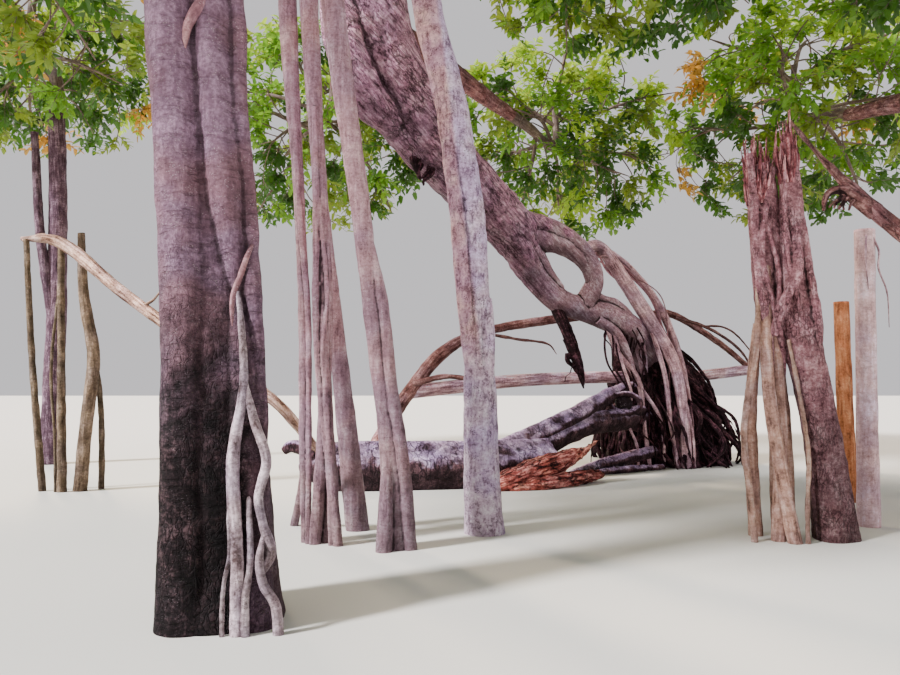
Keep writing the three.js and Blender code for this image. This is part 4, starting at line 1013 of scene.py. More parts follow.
# Broken stem
# Two fused stems whose tops were torn off and left in red-brown splinters. Strands of root wind round
# them, and the left one stands on a bundle of separate strands.
BROKEN_LEANING = [
    [(5.29, 2.57, 4.25, 0.075), (5.31, 2.6, 3.95, 0.1), (5.33, 2.6, 2.9, 0.15), (5.4, 2.6, 2.0, 0.18),
     (5.55, 2.6, 1.1, 0.185), (5.72, 2.65, BELOW_GROUND, 0.24)],
    [(5.3, 2.46, 3.3, 0.045), (5.25, 2.36, 2.78, 0.055), (5.1, 2.4, 2.45, 0.05), (5.05, 2.5, 2.15, 0.045)],
    [(5.4, 2.52, 3.4, 0.03), (5.45, 2.46, 2.7, 0.04), (5.5, 2.46, 2.3, 0.045), (5.52, 2.5, 1.9, 0.03)],
    [(5.2, 2.45, 3.9, 0.02), (5.18, 2.44, 3.4, 0.028), (5.2, 2.42, 2.9, 0.03), (5.3, 2.44, 2.4, 0.02)],
]
BROKEN_COLUMN = [
    [(5.02, 2.7, 4.05, 0.12), (5.06, 2.72, 3.75, 0.15), (5.06, 2.72, 3.0, 0.125), (5.09, 2.72, 2.0, 0.095),
     (5.13, 2.72, 1.5, 0.05), (5.15, 2.72, 1.2, 0.01)],
    [(4.9, 2.62, 4.15, 0.035), (4.91, 2.58, 3.5, 0.045), (4.93, 2.56, 2.9, 0.05), (4.97, 2.54, 2.4, 0.05),
     (5.04, 2.6, 1.9, 0.04), (5.06, 2.64, 1.6, 0.008)],
    [(5.16, 2.62, 4.0, 0.03), (5.02, 2.55, 3.5, 0.034), (4.96, 2.53, 3.0, 0.034), (5.05, 2.52, 2.5, 0.036),
     (5.16, 2.56, 2.05, 0.034), (5.2, 2.6, 1.7, 0.008)],
    [(4.93, 2.6, 3.7, 0.02), (5.05, 2.54, 3.25, 0.024), (5.14, 2.54, 2.85, 0.028), (5.1, 2.52, 2.4, 0.028),
     (5.0, 2.55, 2.0, 0.026), (5.0, 2.58, 1.7, 0.008)],
    [(5.13, 2.68, 4.05, 0.05), (5.16, 2.66, 3.4, 0.07), (5.17, 2.64, 2.8, 0.075), (5.21, 2.62, 2.3, 0.065),
     (5.26, 2.62, 1.9, 0.04), (5.32, 2.63, 1.6, 0.008)],
]
BROKEN_STRANDS = [
    *[[(*top, 0.055), (*knee, 0.066), (*foot, 0.076)] for top, knee, foot in [
        ((5.02, 2.6, 2.9), (4.98, 2.5, 1.5), (5.2, 2.42, BELOW_GROUND)),
        ((5.12, 2.65, 2.5), (5.12, 2.58, 1.2), (5.03, 2.55, BELOW_GROUND)),
        ((5.12, 2.72, 2.3), (5.24, 2.75, 1.3), (5.24, 2.75, BELOW_GROUND)),
        ((5.0, 2.78, 2.3), (4.92, 2.85, 1.3), (4.94, 2.85, BELOW_GROUND)),
        ((5.1, 2.74, 2.6), (5.15, 2.78, 1.4), (5.13, 2.74, BELOW_GROUND)),
    ]],
    [(4.94, 2.58, 2.8, 0.028), (4.86, 2.5, 2.05, 0.034), (4.77, 2.5, 1.57, 0.04), (4.7, 2.5, 1.1, 0.036),
     (4.74, 2.5, 0.53, 0.034), (4.8, 2.5, BELOW_GROUND, 0.04)],
    [(5.2, 2.5, 2.1, 0.02), (5.27, 2.44, 1.5, 0.022), (5.33, 2.42, 0.9, 0.022), (5.3, 2.42, 0.4, 0.024),
     (5.28, 2.4, BELOW_GROUND, 0.026)],
]


def splinters(centre, radius, low, high, count, seed):
    """Torn fibres that stand round a broken top, each from inside the wood to a point of its own height."""
    chance = np.random.default_rng(seed)
    made = []
    for number in range(count):
        turn = number * GOLDEN_ANGLE
        reach = radius * math.sqrt((number + 0.5) / count)
        out = np.array((math.cos(turn), math.sin(turn), 0))
        foot = np.array((*centre, low)) + out * reach * 0.7
        height = low + 0.2 + (high - low - 0.2) * chance.random() ** 1.4
        tip = np.array((*centre, height)) + out * reach * 1.1
        middle = (foot + tip) / 2 + chance.normal(0, 0.018, 3)
        thick = chance.uniform(0.012, 0.032)
        made.append([(*foot, thick), (*middle, 0.85 * thick), (*tip, 0.004)])
    return made


BROKEN_BARK = bark_material("broken bark", ("#dcb0b6", "#a07077", "#4a262d"), 0.03, follows_limb=False,
                            stain_and_ground_shade=0.95, patch_scale=8.0, contrast=1.4, streaks=0.35, fissures=0.5,
                            fissure_scale=26.0, creases=0.4, specks=0.8, speck_scale=46.0,
                            speck=paint("#3a2228"), tinges=0.15)
TORN_WOOD = bark_material("torn wood", ("#c99a9c", "#7a474b", "#2b1216"), 0.02, patch_scale=8.0, streaks=1.2,
                          fissures=0.5, fissure_scale=20.0, creases=0.1, specks=0.0, tinges=0.0)
for seed, (node, paths, top, tall) in enumerate([
    ("broken_stem_leaning", BROKEN_LEANING, ((5.28, 2.57), 0.1, 3.8, 4.65), 44),
    ("broken_stem_column", BROKEN_COLUMN, ((5.02, 2.7), 0.16, 3.6, 4.45), 70),
], 80):
    stem = grow(node + "_bark", paths, BROKEN_BARK, 48, 0.025, seed, fused=0.01, flutes=3, flute_depth=0.1,
                lump_size=0.2, lump_height=0.045, ridge_size=0.06, ridge_height=0.02)
    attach(stem, "root")
    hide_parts(node)
    fibres = grow(node + "_splinters", splinters(*top, tall, seed), TORN_WOOD, 6, 0.03, seed, lump_size=0.05,
                  lump_height=0.025, ridge_size=0.02, ridge_height=0.016)
    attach(fibres, "root")

STRAND_BARK = bark_material("strand bark", ("#c4ac9e", "#9f7f6e", "#4c3730"), 0.012, stain_and_ground_shade=0.3,
                            patch_scale=6.0, streaks=0.7, fissures=0.15, creases=0.5, specks=0.5,
                            speck=paint("#5c443c"))
strands = grow("broken_stem_strands", BROKEN_STRANDS, STRAND_BARK, 20, 0.03, 83, lump_size=0.2,
               lump_height=0.03, ridge_size=0.04, ridge_height=0.008)
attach(strands, "root")
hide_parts("broken_stem_column")


# Sawn stems
# Two prop stems that were sawn off square: a tall one in pale bark with thin roots still hanging from its
# top, and a short one whose bark has gone and left orange-brown wood.
SAWN = {
    "sawn_stem_tall": ((6.57, 3.4, 3.48, 0.112), (6.52, 3.4, 1.8, 0.112), (6.47, 3.4, BELOW_GROUND, 0.13)),
    "sawn_stem_short": ((7.28, 5.3, 2.85, 0.104), (7.28, 5.3, 1.2, 0.11), (7.28, 5.3, BELOW_GROUND, 0.124)),
}
RING_SPACING = 55.0


def end_grain_material(name, spot, colours):
    """A sawn face: rings of growth round the stem's middle, and a stain."""
    material = new_material(name)
    place = add_node(material.node_tree, "ShaderNodeMapping", {
        "Vector": surface_coordinates(material.node_tree, False), "Location": (-spot[0], -spot[1], 0),
    }).outputs[0]
    rings = add_node(material.node_tree, "ShaderNodeTexWave", {
        "Vector": place, "Scale": RING_SPACING, "Distortion": 1.5, "Detail": 2.0,
    }, wave_type="RINGS", rings_direction="Z").outputs[1]
    pale, dark, stained = map(paint, colours)
    stain_and_ground_shade = spread_out(noise(place, 18.0, 4.0), 0.45, 0.75)
    colour = mix_colours(stain_and_ground_shade, mix_colours(rings, pale, dark), stained)
    return finish_bark(material, colour, 0.85, rings, 0.002)


SAWN_BARK = bark_material("sawn bark", ("#f4e2ec", "#d4b2b4", "#8f6c6c"), 0.01, patch_scale=2.5, streaks=0.4,
                          fissures=0.15, creases=0.5, specks=0.7, speck=paint("#68494b"))
BARE_WOOD = bark_material("bare wood", ("#d29870", "#b3724c", "#713f26"), 0.012, patch_scale=4.0, streaks=0.8,
                          fissures=0.4, fissure_scale=7.0, creases=0.1, specks=0.2, speck=paint("#5d3520"),
                          tinges=0.0)
for seed, (node, path, skin, slot, faces) in enumerate([
    ("sawn_stem_tall", SAWN["sawn_stem_tall"], SAWN_BARK, "wood_sawn", ("#dcc3ae", "#c4a68e", "#8a6b58")),
    ("sawn_stem_short", SAWN["sawn_stem_short"], BARE_WOOD, "wood_rotten", ("#d9a273", "#b97d4e", "#70462a")),
], 85):
    stem = grow(node + "_wood", [path[::-1]], skin, 48, 0.03, seed, lump_size=0.4, lump_height=0.03,
                ridge_size=0.05, ridge_height=0.004)
    stem.data.materials.append(end_grain_material(node + " face", path[0], faces))
    for face in stem.data.polygons:
        if face.normal.z > 0.9:
            face.material_index = 1
            face.use_smooth = False
    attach(stem, "root")
    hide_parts(node)

hanging_roots = grow("sawn_stem_roots", [
    [(6.6, 3.32, 3.42, 0.014), (6.66, 3.28, 3.2, 0.013), (6.64, 3.27, 3.0, 0.011), (6.72, 3.26, 2.72, 0.009),
     (6.73, 3.26, 2.3, 0.004)],
    [(6.53, 3.3, 3.4, 0.012), (6.5, 3.28, 3.1, 0.01), (6.52, 3.28, 2.75, 0.005)],
], ROOT_BARK, 10, 0.02, 88, lump_size=0.05, lump_height=0.005)
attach(hanging_roots, "root")


# Props and dead bough on the left
# Slim prop stems that stand close together, with a bleached dead bough hooked over them that slants down
# behind the front trunk.
LEFT_PROPS = {
    "left_prop_slim": [[(-5.2, 6.4, 4.0, 0.045), (-5.05, 6.4, 2.3, 0.05), (-4.74, 6.4, BELOW_GROUND, 0.06)]],
    "left_prop_thick": [
        [(-4.32, 6.4, 4.1, 0.055), (-4.24, 6.4, 3.1, 0.08), (-4.05, 6.4, 2.1, 0.096),
         (-4.13, 6.4, 1.0, 0.096), (-4.2, 6.4, BELOW_GROUND, 0.11)],
        [(-4.14, 6.45, 2.6, 0.045), (-4.0, 6.6, 1.3, 0.045), (-3.98, 6.7, BELOW_GROUND, 0.05)],
    ],
    "left_prop_short": [
        [(-4.58, 6.3, 3.85, 0.05), (-4.5, 6.3, 1.9, 0.06), (-4.4, 6.3, BELOW_GROUND, 0.075)],
        [(-4.6, 6.32, 3.2, 0.02), (-4.66, 6.3, 1.9, 0.024), (-4.56, 6.3, 0.8, 0.02),
         (-4.5, 6.3, BELOW_GROUND, 0.03)],
    ],
}
DULL_BARK = bark_material("dull bark", ("#94836e", "#5f5140", "#2a2018"), 0.014, stain_and_ground_shade=0.3, patch_scale=4.0,
                          streaks=0.6, fissures=0.15, creases=0.5, specks=0.7, speck=paint("#463529"))
for seed, (node, paths) in enumerate(LEFT_PROPS.items(), 90):
    prop = grow(node + "_bark", paths, DULL_BARK, 28, 0.03, seed, lump_size=0.25, lump_height=0.03)
    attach(prop, "root")
    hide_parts(node)

DEAD_WOOD = bark_material("dead wood", ("#e2c6b2", "#a98a76", "#4c372b"), 0.012, under=0.6, patch_scale=3.0,
                          contrast=1.4, streaks=1.1, fissures=0.2, creases=0.3, specks=0.4,
                          speck=paint("#4a362a"))
fallen_bough = grow("fallen_bough_wood", [
    [(-5.3, 6.45, 4.02, 0.035), (-4.65, 6.3, 3.95, 0.09), (-3.4, 6.0, 3.05, 0.09), (-1.9, 5.7, 2.05, 0.085),
     (-0.95, 5.6, 1.4, 0.08), (-0.45, 6.35, 0.62, 0.07)],
    [(-4.6, 6.3, 3.9, 0.05), (-4.95, 6.4, 4.05, 0.045), (-5.25, 6.4, 3.98, 0.03)],
    [(-3.1, 5.9, 2.85, 0.03), (-2.9, 5.85, 2.95, 0.02), (-2.75, 5.8, 3.12, 0.006)],
], DEAD_WOOD, 28, 0.03, 94, lump_size=0.3, lump_height=0.03, ridge_size=0.04, ridge_height=0.008)
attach(fallen_bough, "root")
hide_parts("fallen_bough")


# Outer stems
# Props at the two ends of the tree, which hold up the crown's outer parts. From the right one a bough with
# a torn end droops towards the sawn stem, and another reaches back to the far side.
FAR_BARK = bark_material("far stem bark", ("#8b7580", "#4d3a44", "#20161b"), 0.016, stain_and_ground_shade=0.3, tinges=0.2,
                         patch_scale=4.0, streaks=0.6, fissures=0.3, creases=0.5, specks=0.6,
                         speck=paint("#35262e"))
OUTER_STEMS = {
    "far_left_stem": ([
        [(-6.97, 10.8, BELOW_GROUND, 0.28), (-7.05, 10.8, 1.2, 0.22), (-7.05, 10.8, 3.5, 0.2),
         (-7.12, 10.8, 5.8, 0.19), (-7.25, 10.8, 8.1, 0.17)],
        [(-7.06, 10.75, 3.0, 0.12), (-7.35, 10.6, 4.9, 0.1), (-7.62, 10.65, 7.3, 0.08)],
    ], FAR_BARK, "bark_prop"),
    "outer_right_stem": ([
        [(8.8, 4.2, BELOW_GROUND, 0.37), (8.75, 4.2, 1.5, 0.27), (8.7, 4.25, 4.2, 0.24),
         (8.9, 4.4, 6.8, 0.17)],
    ], PROP_BARK, "bark_prop"),
    "bough_far_right": ([
        [(8.75, 4.3, 5.2, 0.2), (9.1, 6.2, 6.2, 0.17), (9.2, 8.3, 6.8, 0.12)],
    ], BOUGH_BARK, "bark_prop"),
    "drooping_bough": ([
        [(8.7, 4.2, 2.95, 0.13), (7.9, 3.9, 3.15, 0.11), (7.3, 3.8, 3.52, 0.105), (6.75, 3.8, 4.0, 0.088),
         (6.45, 4.0, 4.5, 0.04), (6.2, 4.4, 5.2, 0.02)],
        [(6.95, 3.8, 3.8, 0.11), (6.68, 3.78, 3.98, 0.09), (6.48, 3.76, 4.07, 0.055),
         (6.34, 3.75, 4.02, 0.045), (6.28, 3.74, 3.9, 0.04), (6.27, 3.74, 3.8, 0.015)],
        *[wandering((6.55 + 0.03 * k, 3.76, 4.03), (6.33 + 0.06 * k, 3.72, 3.84 - 0.01 * k), 0.02,
                    (0.035, 0.012), 130 + k, 4) for k in range(5)],
    ], BOUGH_BARK, "bark_limb"),
}
for seed, (node, (paths, skin, slot)) in enumerate(OUTER_STEMS.items(), 96):
    stem = grow(node + "_bark", paths, skin, 36, 0.05, seed, lump_size=0.4, lump_height=0.05, ridge_size=0.06,
                ridge_height=0.012)
    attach(stem, "root")
    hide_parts(node)


# Crown
# Masses of twigs and glossy green leaves, each on a stem that goes on from its bough's end. Each stem
# carries eleven boughs, which fork into finer twigs, and every fine twig is set with leaves to its tip.
MASSES = {
    "foliage_trunk_top": (TRUNK_PATH, (-0.3, -2.2, 10.2), (3.0, 3.0, 2.1)),
    "foliage_front_left": (FRONT_BOUGHS["bough_front_left"], (-5.4, -1.6, 8.9), (3.9, 3.5, 2.4)),
    "foliage_front_right": (FRONT_BOUGHS["bough_front_right"], (4.9, -1.9, 9.2), (3.7, 3.3, 2.4)),
    "foliage_left": (FRONT_BOUGHS["bough_left"], (-6.6, 4.9, 8.7), (4.1, 3.6, 2.5)),
    "foliage_centre": (FRONT_BOUGHS["bough_riser"], (0.1, 2.4, 11.0), (2.9, 2.6, 1.6)),
    "foliage_over_props": (FRONT_BOUGHS["bough_over_props"], (5.2, 2.9, 10.3), (3.3, 2.9, 2.1)),
    "foliage_limb_top": (GREAT_LIMB[0], (-1.0, 7.2, 11.0), (3.8, 3.4, 1.7)),
    "foliage_limb_right": (LIMB_BOUGHS["bough_limb_right"], (4.9, 8.0, 10.2), (3.4, 3.4, 2.1)),
    "foliage_rear_left": (LIMB_BOUGHS["bough_rear_left"], (-1.9, 12.8, 8.2), (3.7, 2.9, 2.7)),
    "foliage_rear_right": (LIMB_BOUGHS["bough_rear_right"], (4.3, 13.0, 7.8), (3.4, 2.8, 2.6)),
    "foliage_far_left": (OUTER_STEMS["far_left_stem"][0][0], (-8.0, 11.0, 9.4), (3.4, 3.6, 2.4)),
    "foliage_right": (OUTER_STEMS["outer_right_stem"][0][0], (9.2, 3.9, 8.8), (3.1, 3.6, 2.4)),
    "foliage_far_right": (OUTER_STEMS["bough_far_right"][0][0], (9.3, 10.6, 7.7), (3.0, 3.6, 2.5)),
}
FIRST_SEED, SEED_STEP = 11, 7
STEM_TAPER = (0.95, 0.85, 0.7, 0.5)
STEM_RISE = 0.45
BOUGHS_PER_MASS = 11
LOWEST_BOUGH, HIGHEST_BOUGH = 0.3, 0.98
BOUGH_REACH = 0.97
BOUGH_GIRTHS = (0.055, 0.042, 0.028, 0.01)
BOUGH_SHARES = np.array(((0,), (0.35,), (0.7,), (1,)))
BOUGH_RISE = np.array(((0,), (0.07,), (0.06,), (0,)))
BONE_SHARES = np.linspace(0.08, 0.9, 24)
SHELLS = ((0.86, 62), (0.64, 34), (0.4, 14))
TWIGS_PER_SPRAY = 7
TWIG_LENGTHS = (0.4, 0.72)
FINE_GIRTHS = ((0.009,), (0.007,), (0.004,))
LEAVES_PER_TWIG = 12
LEAF_LENGTHS = (0.17, 0.23)
TWIG_GIRTH = 0.024
TWIG_SAG = 0.16
CLEARANCE = 0.05
UP = np.array((0.0, 0.0, 1.0))


def unit(ways):
    """Vectors brought to a length of one."""
    return ways / np.linalg.norm(ways, axis=-1, keepdims=True)


def outness(name, spots):
    """How far out points lie in the ellipsoid of a mass's own space: 1 is its skin."""
    _, centre, semi = MASSES[name]
    return np.linalg.norm((spots - np.array(centre)) / semi, axis=-1)


def in_own_space(name, spots):
    """Whether points lie in the mass's own space, which ends where a neighbour's begins."""
    own = outness(name, spots)
    others = np.min([outness(other, spots) for other in MASSES if other != name], axis=0)
    return (own <= 1) & (own < others)


def near_limbs(name):
    """Points along the limbs that pass through a mass, with their girths."""
    _, centre, semi = MASSES[name]
    limbs = np.vstack([spot_along(line, np.linspace(0, 1, 40)) for line in limb_lines])
    return limbs[np.linalg.norm(limbs[:, :3] - centre, axis=1) < max(semi) + 0.5]


def clear_of(limbs, spots):
    """Whether points keep clear of the limbs."""
    gap = np.full(spots.shape[:-1], np.inf)
    for limb in limbs:
        gap = np.minimum(gap, np.linalg.norm(spots - limb[:3], axis=-1) - limb[3])
    return gap > CLEARANCE


def spot_along(line, share):
    """The points and girths at shares of a line's length."""
    steps = np.linalg.norm(np.diff(line[:, :3], axis=0), axis=1)
    lengths = np.concatenate([[0], np.cumsum(steps)])
    reach = np.multiply(share, lengths[-1])
    return np.stack([np.interp(reach, lengths, line[:, k]) for k in range(4)], axis=-1)


def on_ellipsoid(name, rise, turn, share):
    """Points in a mass at a share of the way to its skin, from a height of -1 to 1 and a turn."""
    _, centre, semi = MASSES[name]
    level = np.sqrt(1 - np.square(rise))
    out = np.stack([level * np.cos(turn), level * np.sin(turn), rise], axis=-1)
    return np.array(centre) + out * semi * np.expand_dims(share, -1)


def mass_stem(name):
    """The stem of a mass: on from its bough's tip, bent to the mass's middle, and ending above it."""
    path, centre, semi = MASSES[name]
    line = smooth_path(path)
    foot = line[-1, :3]
    knee = foot + unit(foot - line[-2, :3]) * math.dist(foot, centre) / 3
    head = np.array(centre) + UP * semi[2] * STEM_RISE
    return smooth_path(np.column_stack([[foot, knee, centre, head], line[-1, 3] * np.array(STEM_TAPER)]))


def mass_boughs(name, stem, seed):
    """The boughs of a mass, spread evenly round its stem by the golden angle, with a slight rise and sag."""
    chance = np.random.default_rng(seed)
    boughs = []
    for number in range(BOUGHS_PER_MASS):
        height = 1 - (number + 0.5) / BOUGHS_PER_MASS
        root = spot_along(stem, LOWEST_BOUGH + (HIGHEST_BOUGH - LOWEST_BOUGH) * height)[:3]
        end = on_ellipsoid(name, 2 * height - 1, number * GOLDEN_ANGLE + seed, BOUGH_REACH)
        span = math.dist(root, end)
        line = root + (end - root) * BOUGH_SHARES + UP * span * BOUGH_RISE
        line[1:3] += chance.normal(0, 0.03, (2, 3)) * span
        boughs.append(smooth_path(np.column_stack([line, BOUGH_GIRTHS])))
    return boughs


def spray_starts(name, seed):
    """The places of a mass's sprays on its shells, in its own space."""
    chance = np.random.default_rng(seed)
    places = []
    for shell, (share, count) in enumerate(SHELLS):
        order = np.arange(count)
        shares = share * chance.uniform(0.9, 1.07, count)
        turn = order * GOLDEN_ANGLE + seed + shell + chance.normal(0, 0.12, count)
        places.append(on_ellipsoid(name, 1 - (2 * order + 1) / count, turn, shares))
    places = np.vstack(places)
    return places[in_own_space(name, places)]


def twig_bones(stem, boughs):
    """Spots along a mass's stem and boughs that twigs may leave from, and the way of the wood at each."""
    lines = [spot_along(line, BONE_SHARES) for line in (stem, *boughs)]
    return np.vstack(lines), np.vstack([unit(np.gradient(line[:, :3], axis=0)) for line in lines])


def side_twig(place, bones, ways, depths, depth):
    """A twig to a spray from the nearest bough that lies further in, leaving it at a slant."""
    reach = np.linalg.norm(place - bones[:, :3] - 0.35 * ways, axis=1) + 9.0 * (depths > depth - 0.06)
    best = int(np.argmin(reach))
    root = bones[best, :3]
    span = math.dist(root, place)
    middle = (root + place) / 2 + ways[best] * 0.14 * span + UP * 0.05 * span
    thick = min(0.6 * bones[best, 3], TWIG_GIRTH)
    return np.column_stack([[root, middle, place], (thick, 0.8 * thick, 0.011)])


def fanned(ways, spread, turn):
    """Ways turned away from given ones by a spread, to the side that a turn gives."""
    side = unit(np.cross(ways, (0.12, 0.07, 1)))
    face = np.cross(side, ways)
    spread, turn = np.expand_dims(spread, -1), np.expand_dims(turn, -1)
    return ways * np.cos(spread) + (side * np.cos(turn) + face * np.sin(turn)) * np.sin(spread)


def spray_twigs(name, starts, heads, chance):
    """The fine twigs of each spray: where they begin, their ways and their lengths."""
    _, centre, semi = MASSES[name]
    outward = unit((starts - np.array(centre)) / np.square(semi))
    ways = unit(0.6 * heads + 0.5 * outward + 0.12 * UP)[:, None].repeat(TWIGS_PER_SPRAY, 1)
    shape = ways.shape[:2]
    spread = chance.uniform(0.5, 1.25, shape)
    spread[:, 0] = 0.1
    turn = np.arange(TWIGS_PER_SPRAY) * GOLDEN_ANGLE + chance.uniform(0, 2 * math.pi, (shape[0], 1))
    begin = starts[:, None] - heads[:, None] * chance.uniform(0, 0.22, (*shape, 1))
    return begin, fanned(ways, spread, turn), chance.uniform(*TWIG_LENGTHS, shape)


def spray_leaves(begin, ways, lengths, chance):
    """The leaves of each fine twig: where they are rooted, their ways, faces and sizes."""
    shape = (*lengths.shape, LEAVES_PER_TWIG)
    share = (np.arange(LEAVES_PER_TWIG) + 1.5) / (LEAVES_PER_TWIG + 0.5) * np.ones(shape)
    roots = along_twig(begin[..., None, :], ways[..., None, :], lengths[..., None], share)
    turn = np.arange(LEAVES_PER_TWIG) * GOLDEN_ANGLE + chance.uniform(0, 2 * math.pi, (*lengths.shape, 1))
    spread = chance.uniform(0.75, 1.25, shape) * np.where(share > 0.97, 0.2, 1.0)
    aim = fanned(ways[..., None, :].repeat(LEAVES_PER_TWIG, -2), spread, turn)
    aim = unit(aim * (1, 1, 0.75) - UP * chance.uniform(0, 0.4, (*shape, 1)))
    side = unit(np.cross(aim, UP + chance.normal(0, 0.3, (*shape, 3))))
    return roots, aim, np.cross(side, aim), chance.uniform(*LEAF_LENGTHS, shape)


def along_twig(begin, ways, lengths, share):
    """The point at a share of a fine twig, which bends down by its own weight."""
    out = np.expand_dims(lengths * share, -1)
    return begin + ways * out - UP * TWIG_SAG * out * np.expand_dims(share, -1)


LEAF_TINTS = {
    "Bright": ("#8fb832", "#c6e04a"), "Middle": ("#5f9128", "#93bf3a"), "Olive": ("#6f8a2c", "#a3b840"),
    "Dark": ("#375f20", "#5a8a2a"), "Warm": ("#b8923a", "#e0a850"),
}
LEAF_OUTLINE = 6
WARM_MASSES = ("foliage_far_left", "foliage_front_left", "foliage_far_right", "foliage_right")


def leaf_nodes():
    """Geometry Nodes that set a leaf on each point: six faces round its middle, folded and drooping."""
    tree, given = new_group("leaves", "GeometryNodeTree", (
        ("Geometry", "Geometry"), ("Width", "Float", 0.56), ("Fold", "Float", 0.35), ("Droop", "Float", 0.16),
        *[(tint, "Material") for tint in LEAF_TINTS],
    ))
    disc = add_node(tree, "GeometryNodeMeshCircle", {
        "Vertices": LEAF_OUTLINE, "Radius": 1.0,
    }, fill_type="TRIANGLE_FAN").outputs[0]
    place = add_node(tree, "GeometryNodeInputPosition").outputs[0]
    along = reckon("MULTIPLY_ADD", axis_of(place, 0), 0.5, 0.5)
    taper = reckon("MULTIPLY_ADD", axis_of(place, 0), -0.36, 1.0)
    across = times(times(axis_of(place, 1), taper), times(given["Width"], 0.5))
    fold = times(reckon("ABSOLUTE", across), given["Fold"])
    droop = times(times(along, along), given["Droop"])
    shape = add_node(tree, "ShaderNodeCombineXYZ", {0: along, 1: across, 2: minus(fold, droop)}).outputs[0]
    disc = add_node(tree, "GeometryNodeSetPosition", {"Geometry": disc, "Position": shape}).outputs[0]
    way, face = (carried(tree, name, "FLOAT_VECTOR") for name in ("way", "face"))
    turned = add_node(tree, "FunctionNodeAxesToRotation", {
        "Primary Axis": way, "Secondary Axis": face,
    }, primary_axis="X", secondary_axis="Z").outputs[0]
    leaves = add_node(tree, "GeometryNodeInstanceOnPoints", {
        "Points": given["Geometry"], "Instance": disc, "Rotation": turned, "Scale": carried(tree, "size"),
    }).outputs[0]
    leaves = add_node(tree, "GeometryNodeRealizeInstances", {"Geometry": leaves}).outputs[0]
    for number, tint in enumerate(LEAF_TINTS):
        chosen = reckon("COMPARE", carried(tree, "tint"), number, 0.5)
        leaves = add_node(tree, "GeometryNodeSetMaterial", {
            "Geometry": leaves, "Selection": chosen, "Material": given[tint],
        }).outputs[0]
    add_node(tree, "NodeGroupOutput", {"Geometry": leaves})
    return tree


def leaf_material(name, face, glow):
    """A leaf: plain green, a little glossy, and lighter where light shines through it."""
    material = new_material(name)
    tree = material.node_tree
    shader = add_node(tree, "ShaderNodeBsdfPrincipled", {"Base Color": paint(face), "Roughness": 0.5})
    lit = add_node(tree, "ShaderNodeBsdfTranslucent", {"Color": paint(glow)})
    both = add_node(tree, "ShaderNodeMixShader", {0: 0.35, 1: shader.outputs[0], 2: lit.outputs[0]})
    add_node(tree, "ShaderNodeOutputMaterial", {"Surface": both.outputs[0]})
    return material


def spray_tints(name, starts, chance):
    """The tint of each spray: painted shade darker further in, painted light brighter on top, and some warm
    in the sunlit masses.
    """
    _, centre, semi = MASSES[name]
    depth, height = outness(name, starts), (starts[:, 2] - centre[2]) / semi[2]
    light = 0.9 * depth + 0.45 * height + chance.normal(0, 0.3, len(starts))
    tints = np.select([light > 1.0, light > 0.62, light > 0.38], [0, 1, 2], 3)
    warm = (name in WARM_MASSES) & (depth > 0.7) & (chance.random(len(starts)) < 0.16)
    return np.where(warm, 4, tints)


LEAF_NODES = leaf_nodes()
LEAF_MATERIALS = {tint: leaf_material(tint.lower() + " leaf", *codes) for tint, codes in LEAF_TINTS.items()}
TWIG_BARK = bark_material("twig bark", ("#b59f94", "#7d6a60", "#453636"), 0.004, streaks=0.5, fissures=0.1,
                          specks=0.4)


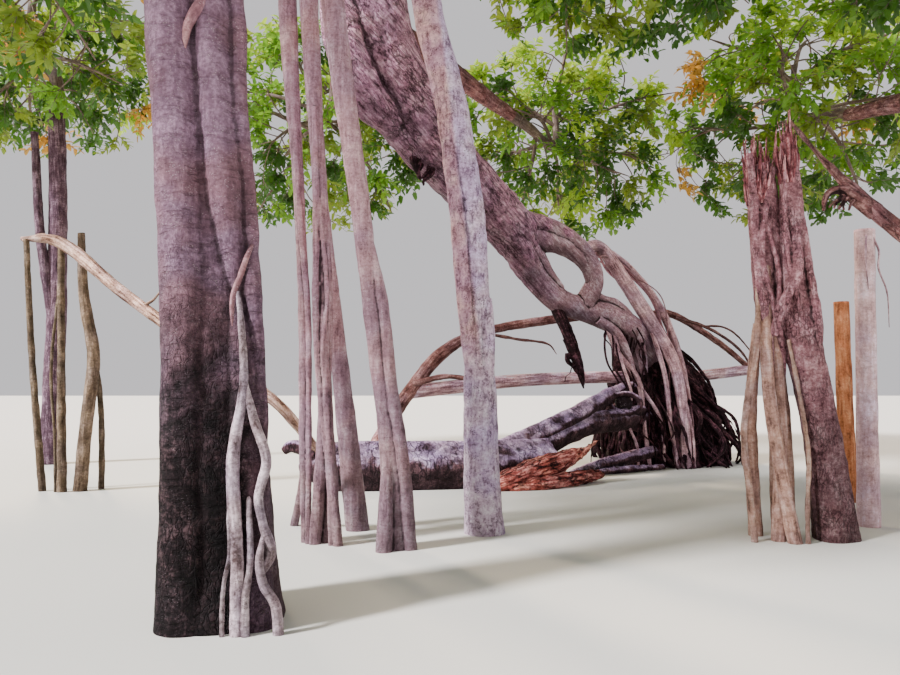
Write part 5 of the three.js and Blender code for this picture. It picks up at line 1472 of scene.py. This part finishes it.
def grow_mass(name, seed):
    """A mass of foliage as three pieces: its leaves, its stem with its boughs, and its twigs."""
    chance = np.random.default_rng(seed)
    limbs, stem = near_limbs(name), mass_stem(name)
    boughs = mass_boughs(name, stem, seed)
    bones, ways = twig_bones(stem, boughs)
    depths = outness(name, bones[:, :3])
    starts = spray_starts(name, seed)
    starts = starts[clear_of(limbs, starts)]
    twigs = [side_twig(start, bones, ways, depths, depth)
             for start, depth in zip(starts, outness(name, starts))]
    heads = unit(starts - np.array([twig[1, :3] for twig in twigs]))
    begin, aims, lengths = spray_twigs(name, starts, heads, chance)
    middles, ends = (along_twig(begin, aims, lengths, np.full(lengths.shape, share)) for share in (0.5, 1.0))
    kept = in_own_space(name, ends) & clear_of(limbs, ends) & clear_of(limbs, middles)
    fine = np.stack([begin, middles, ends], axis=2)[kept]
    twigs.extend(np.concatenate([fine, np.tile(FINE_GIRTHS, (len(fine), 1, 1))], axis=2))

    roots, aim, face, size = spray_leaves(begin, aims, lengths, chance)
    tips, bellies = (roots + aim * size[..., None] * share for share in (1.0, 0.5))
    keep = kept[..., None] & in_own_space(name, tips) & clear_of(limbs, tips) & clear_of(limbs, bellies)
    tints = np.broadcast_to(spray_tints(name, starts, chance)[:, None, None], keep.shape)
    points = points_object(name + "_points", roots[keep], [], way=aim[keep], face=face[keep], size=size[keep],
                           tint=tints[keep])
    leaves = run_nodes(points, name + "_leaves", LEAF_NODES, LEAF_MATERIALS)
    thick = run_nodes(line_object(name, [stem, *boughs], seed), name + "_boughs", LIMB_NODES, {
        "Sides": 9, "Step": 0.12, "Lump Height": 0.02, "Material": TWIG_BARK,
    })
    lines = [smooth_path(twig, 4) for twig in twigs]
    thin = run_nodes(line_object(name, lines, seed), name + "_twigs", LIMB_NODES, {
        "Sides": 3, "Step": 0.2, "Lump Height": 0.0, "Ridge Height": 0.0, "Crease Height": 0.0,
        "Material": TWIG_BARK,
    })
    return leaves, thick, thin


for number, name in enumerate(MASSES):
    for piece in grow_mass(name, FIRST_SEED + SEED_STEP * number):
        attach(piece, "root")
        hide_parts(name)


# Floor, light and camera
# A plain pale floor under soft light from the front left, with a warm light from behind.
# The camera stands where a person would, at eye height in front of the trunk.
FLOOR_REACH = 300
floor_mesh = bpy.data.meshes.new("floor")
floor_mesh.from_pydata([
    (x * FLOOR_REACH, y * FLOOR_REACH, 0) for x, y in ((-1, -1), (1, -1), (1, 1), (-1, 1))
], [], [(0, 1, 2, 3)])
floor = add_object("floor", floor_mesh)
floor_paint = new_material("floor paint")
floor_shader = add_node(floor_paint.node_tree, "ShaderNodeBsdfPrincipled", {
    "Base Color": paint("#dcdad4"), "Roughness": 0.9,
})
add_node(floor_paint.node_tree, "ShaderNodeOutputMaterial", {"Surface": floor_shader.outputs[0]})
floor_mesh.materials.append(floor_paint)

world = bpy.data.worlds.new("soft sky")
bpy.context.scene.world = world
world.use_nodes = True
world.node_tree.nodes["Background"].inputs["Color"].default_value = paint("#f3f0f4")
world.node_tree.nodes["Background"].inputs["Strength"].default_value = 0.85


def add_sun(name, colour, strength, spread, way):
    """A broad soft light that shines one way."""
    light = bpy.data.lights.new(name, "SUN")
    light.color = paint(colour)[:3]
    light.energy = strength
    light.angle = math.radians(spread)
    add_object(name, light).rotation_euler = Vector(way).to_track_quat("-Z", "Y").to_euler()


add_sun("front_light", "#fffcfd", 9.5, 8, (0.8, 0.5, -0.6))
add_sun("rear_light", "#ffe6c8", 4.5, 10, (0.5, -0.75, -0.7))

EYE = (1.62, -5.2, 1.55)
LENS = 29.2
SENSOR_WIDTH = 36
PITCH = 4.27
camera = add_object("camera", bpy.data.cameras.new("camera"))
camera.data.lens = LENS
camera.data.sensor_width = SENSOR_WIDTH
camera.location = EYE
camera.rotation_euler = (math.radians(90 + PITCH), 0, 0)
bpy.context.scene.camera = camera
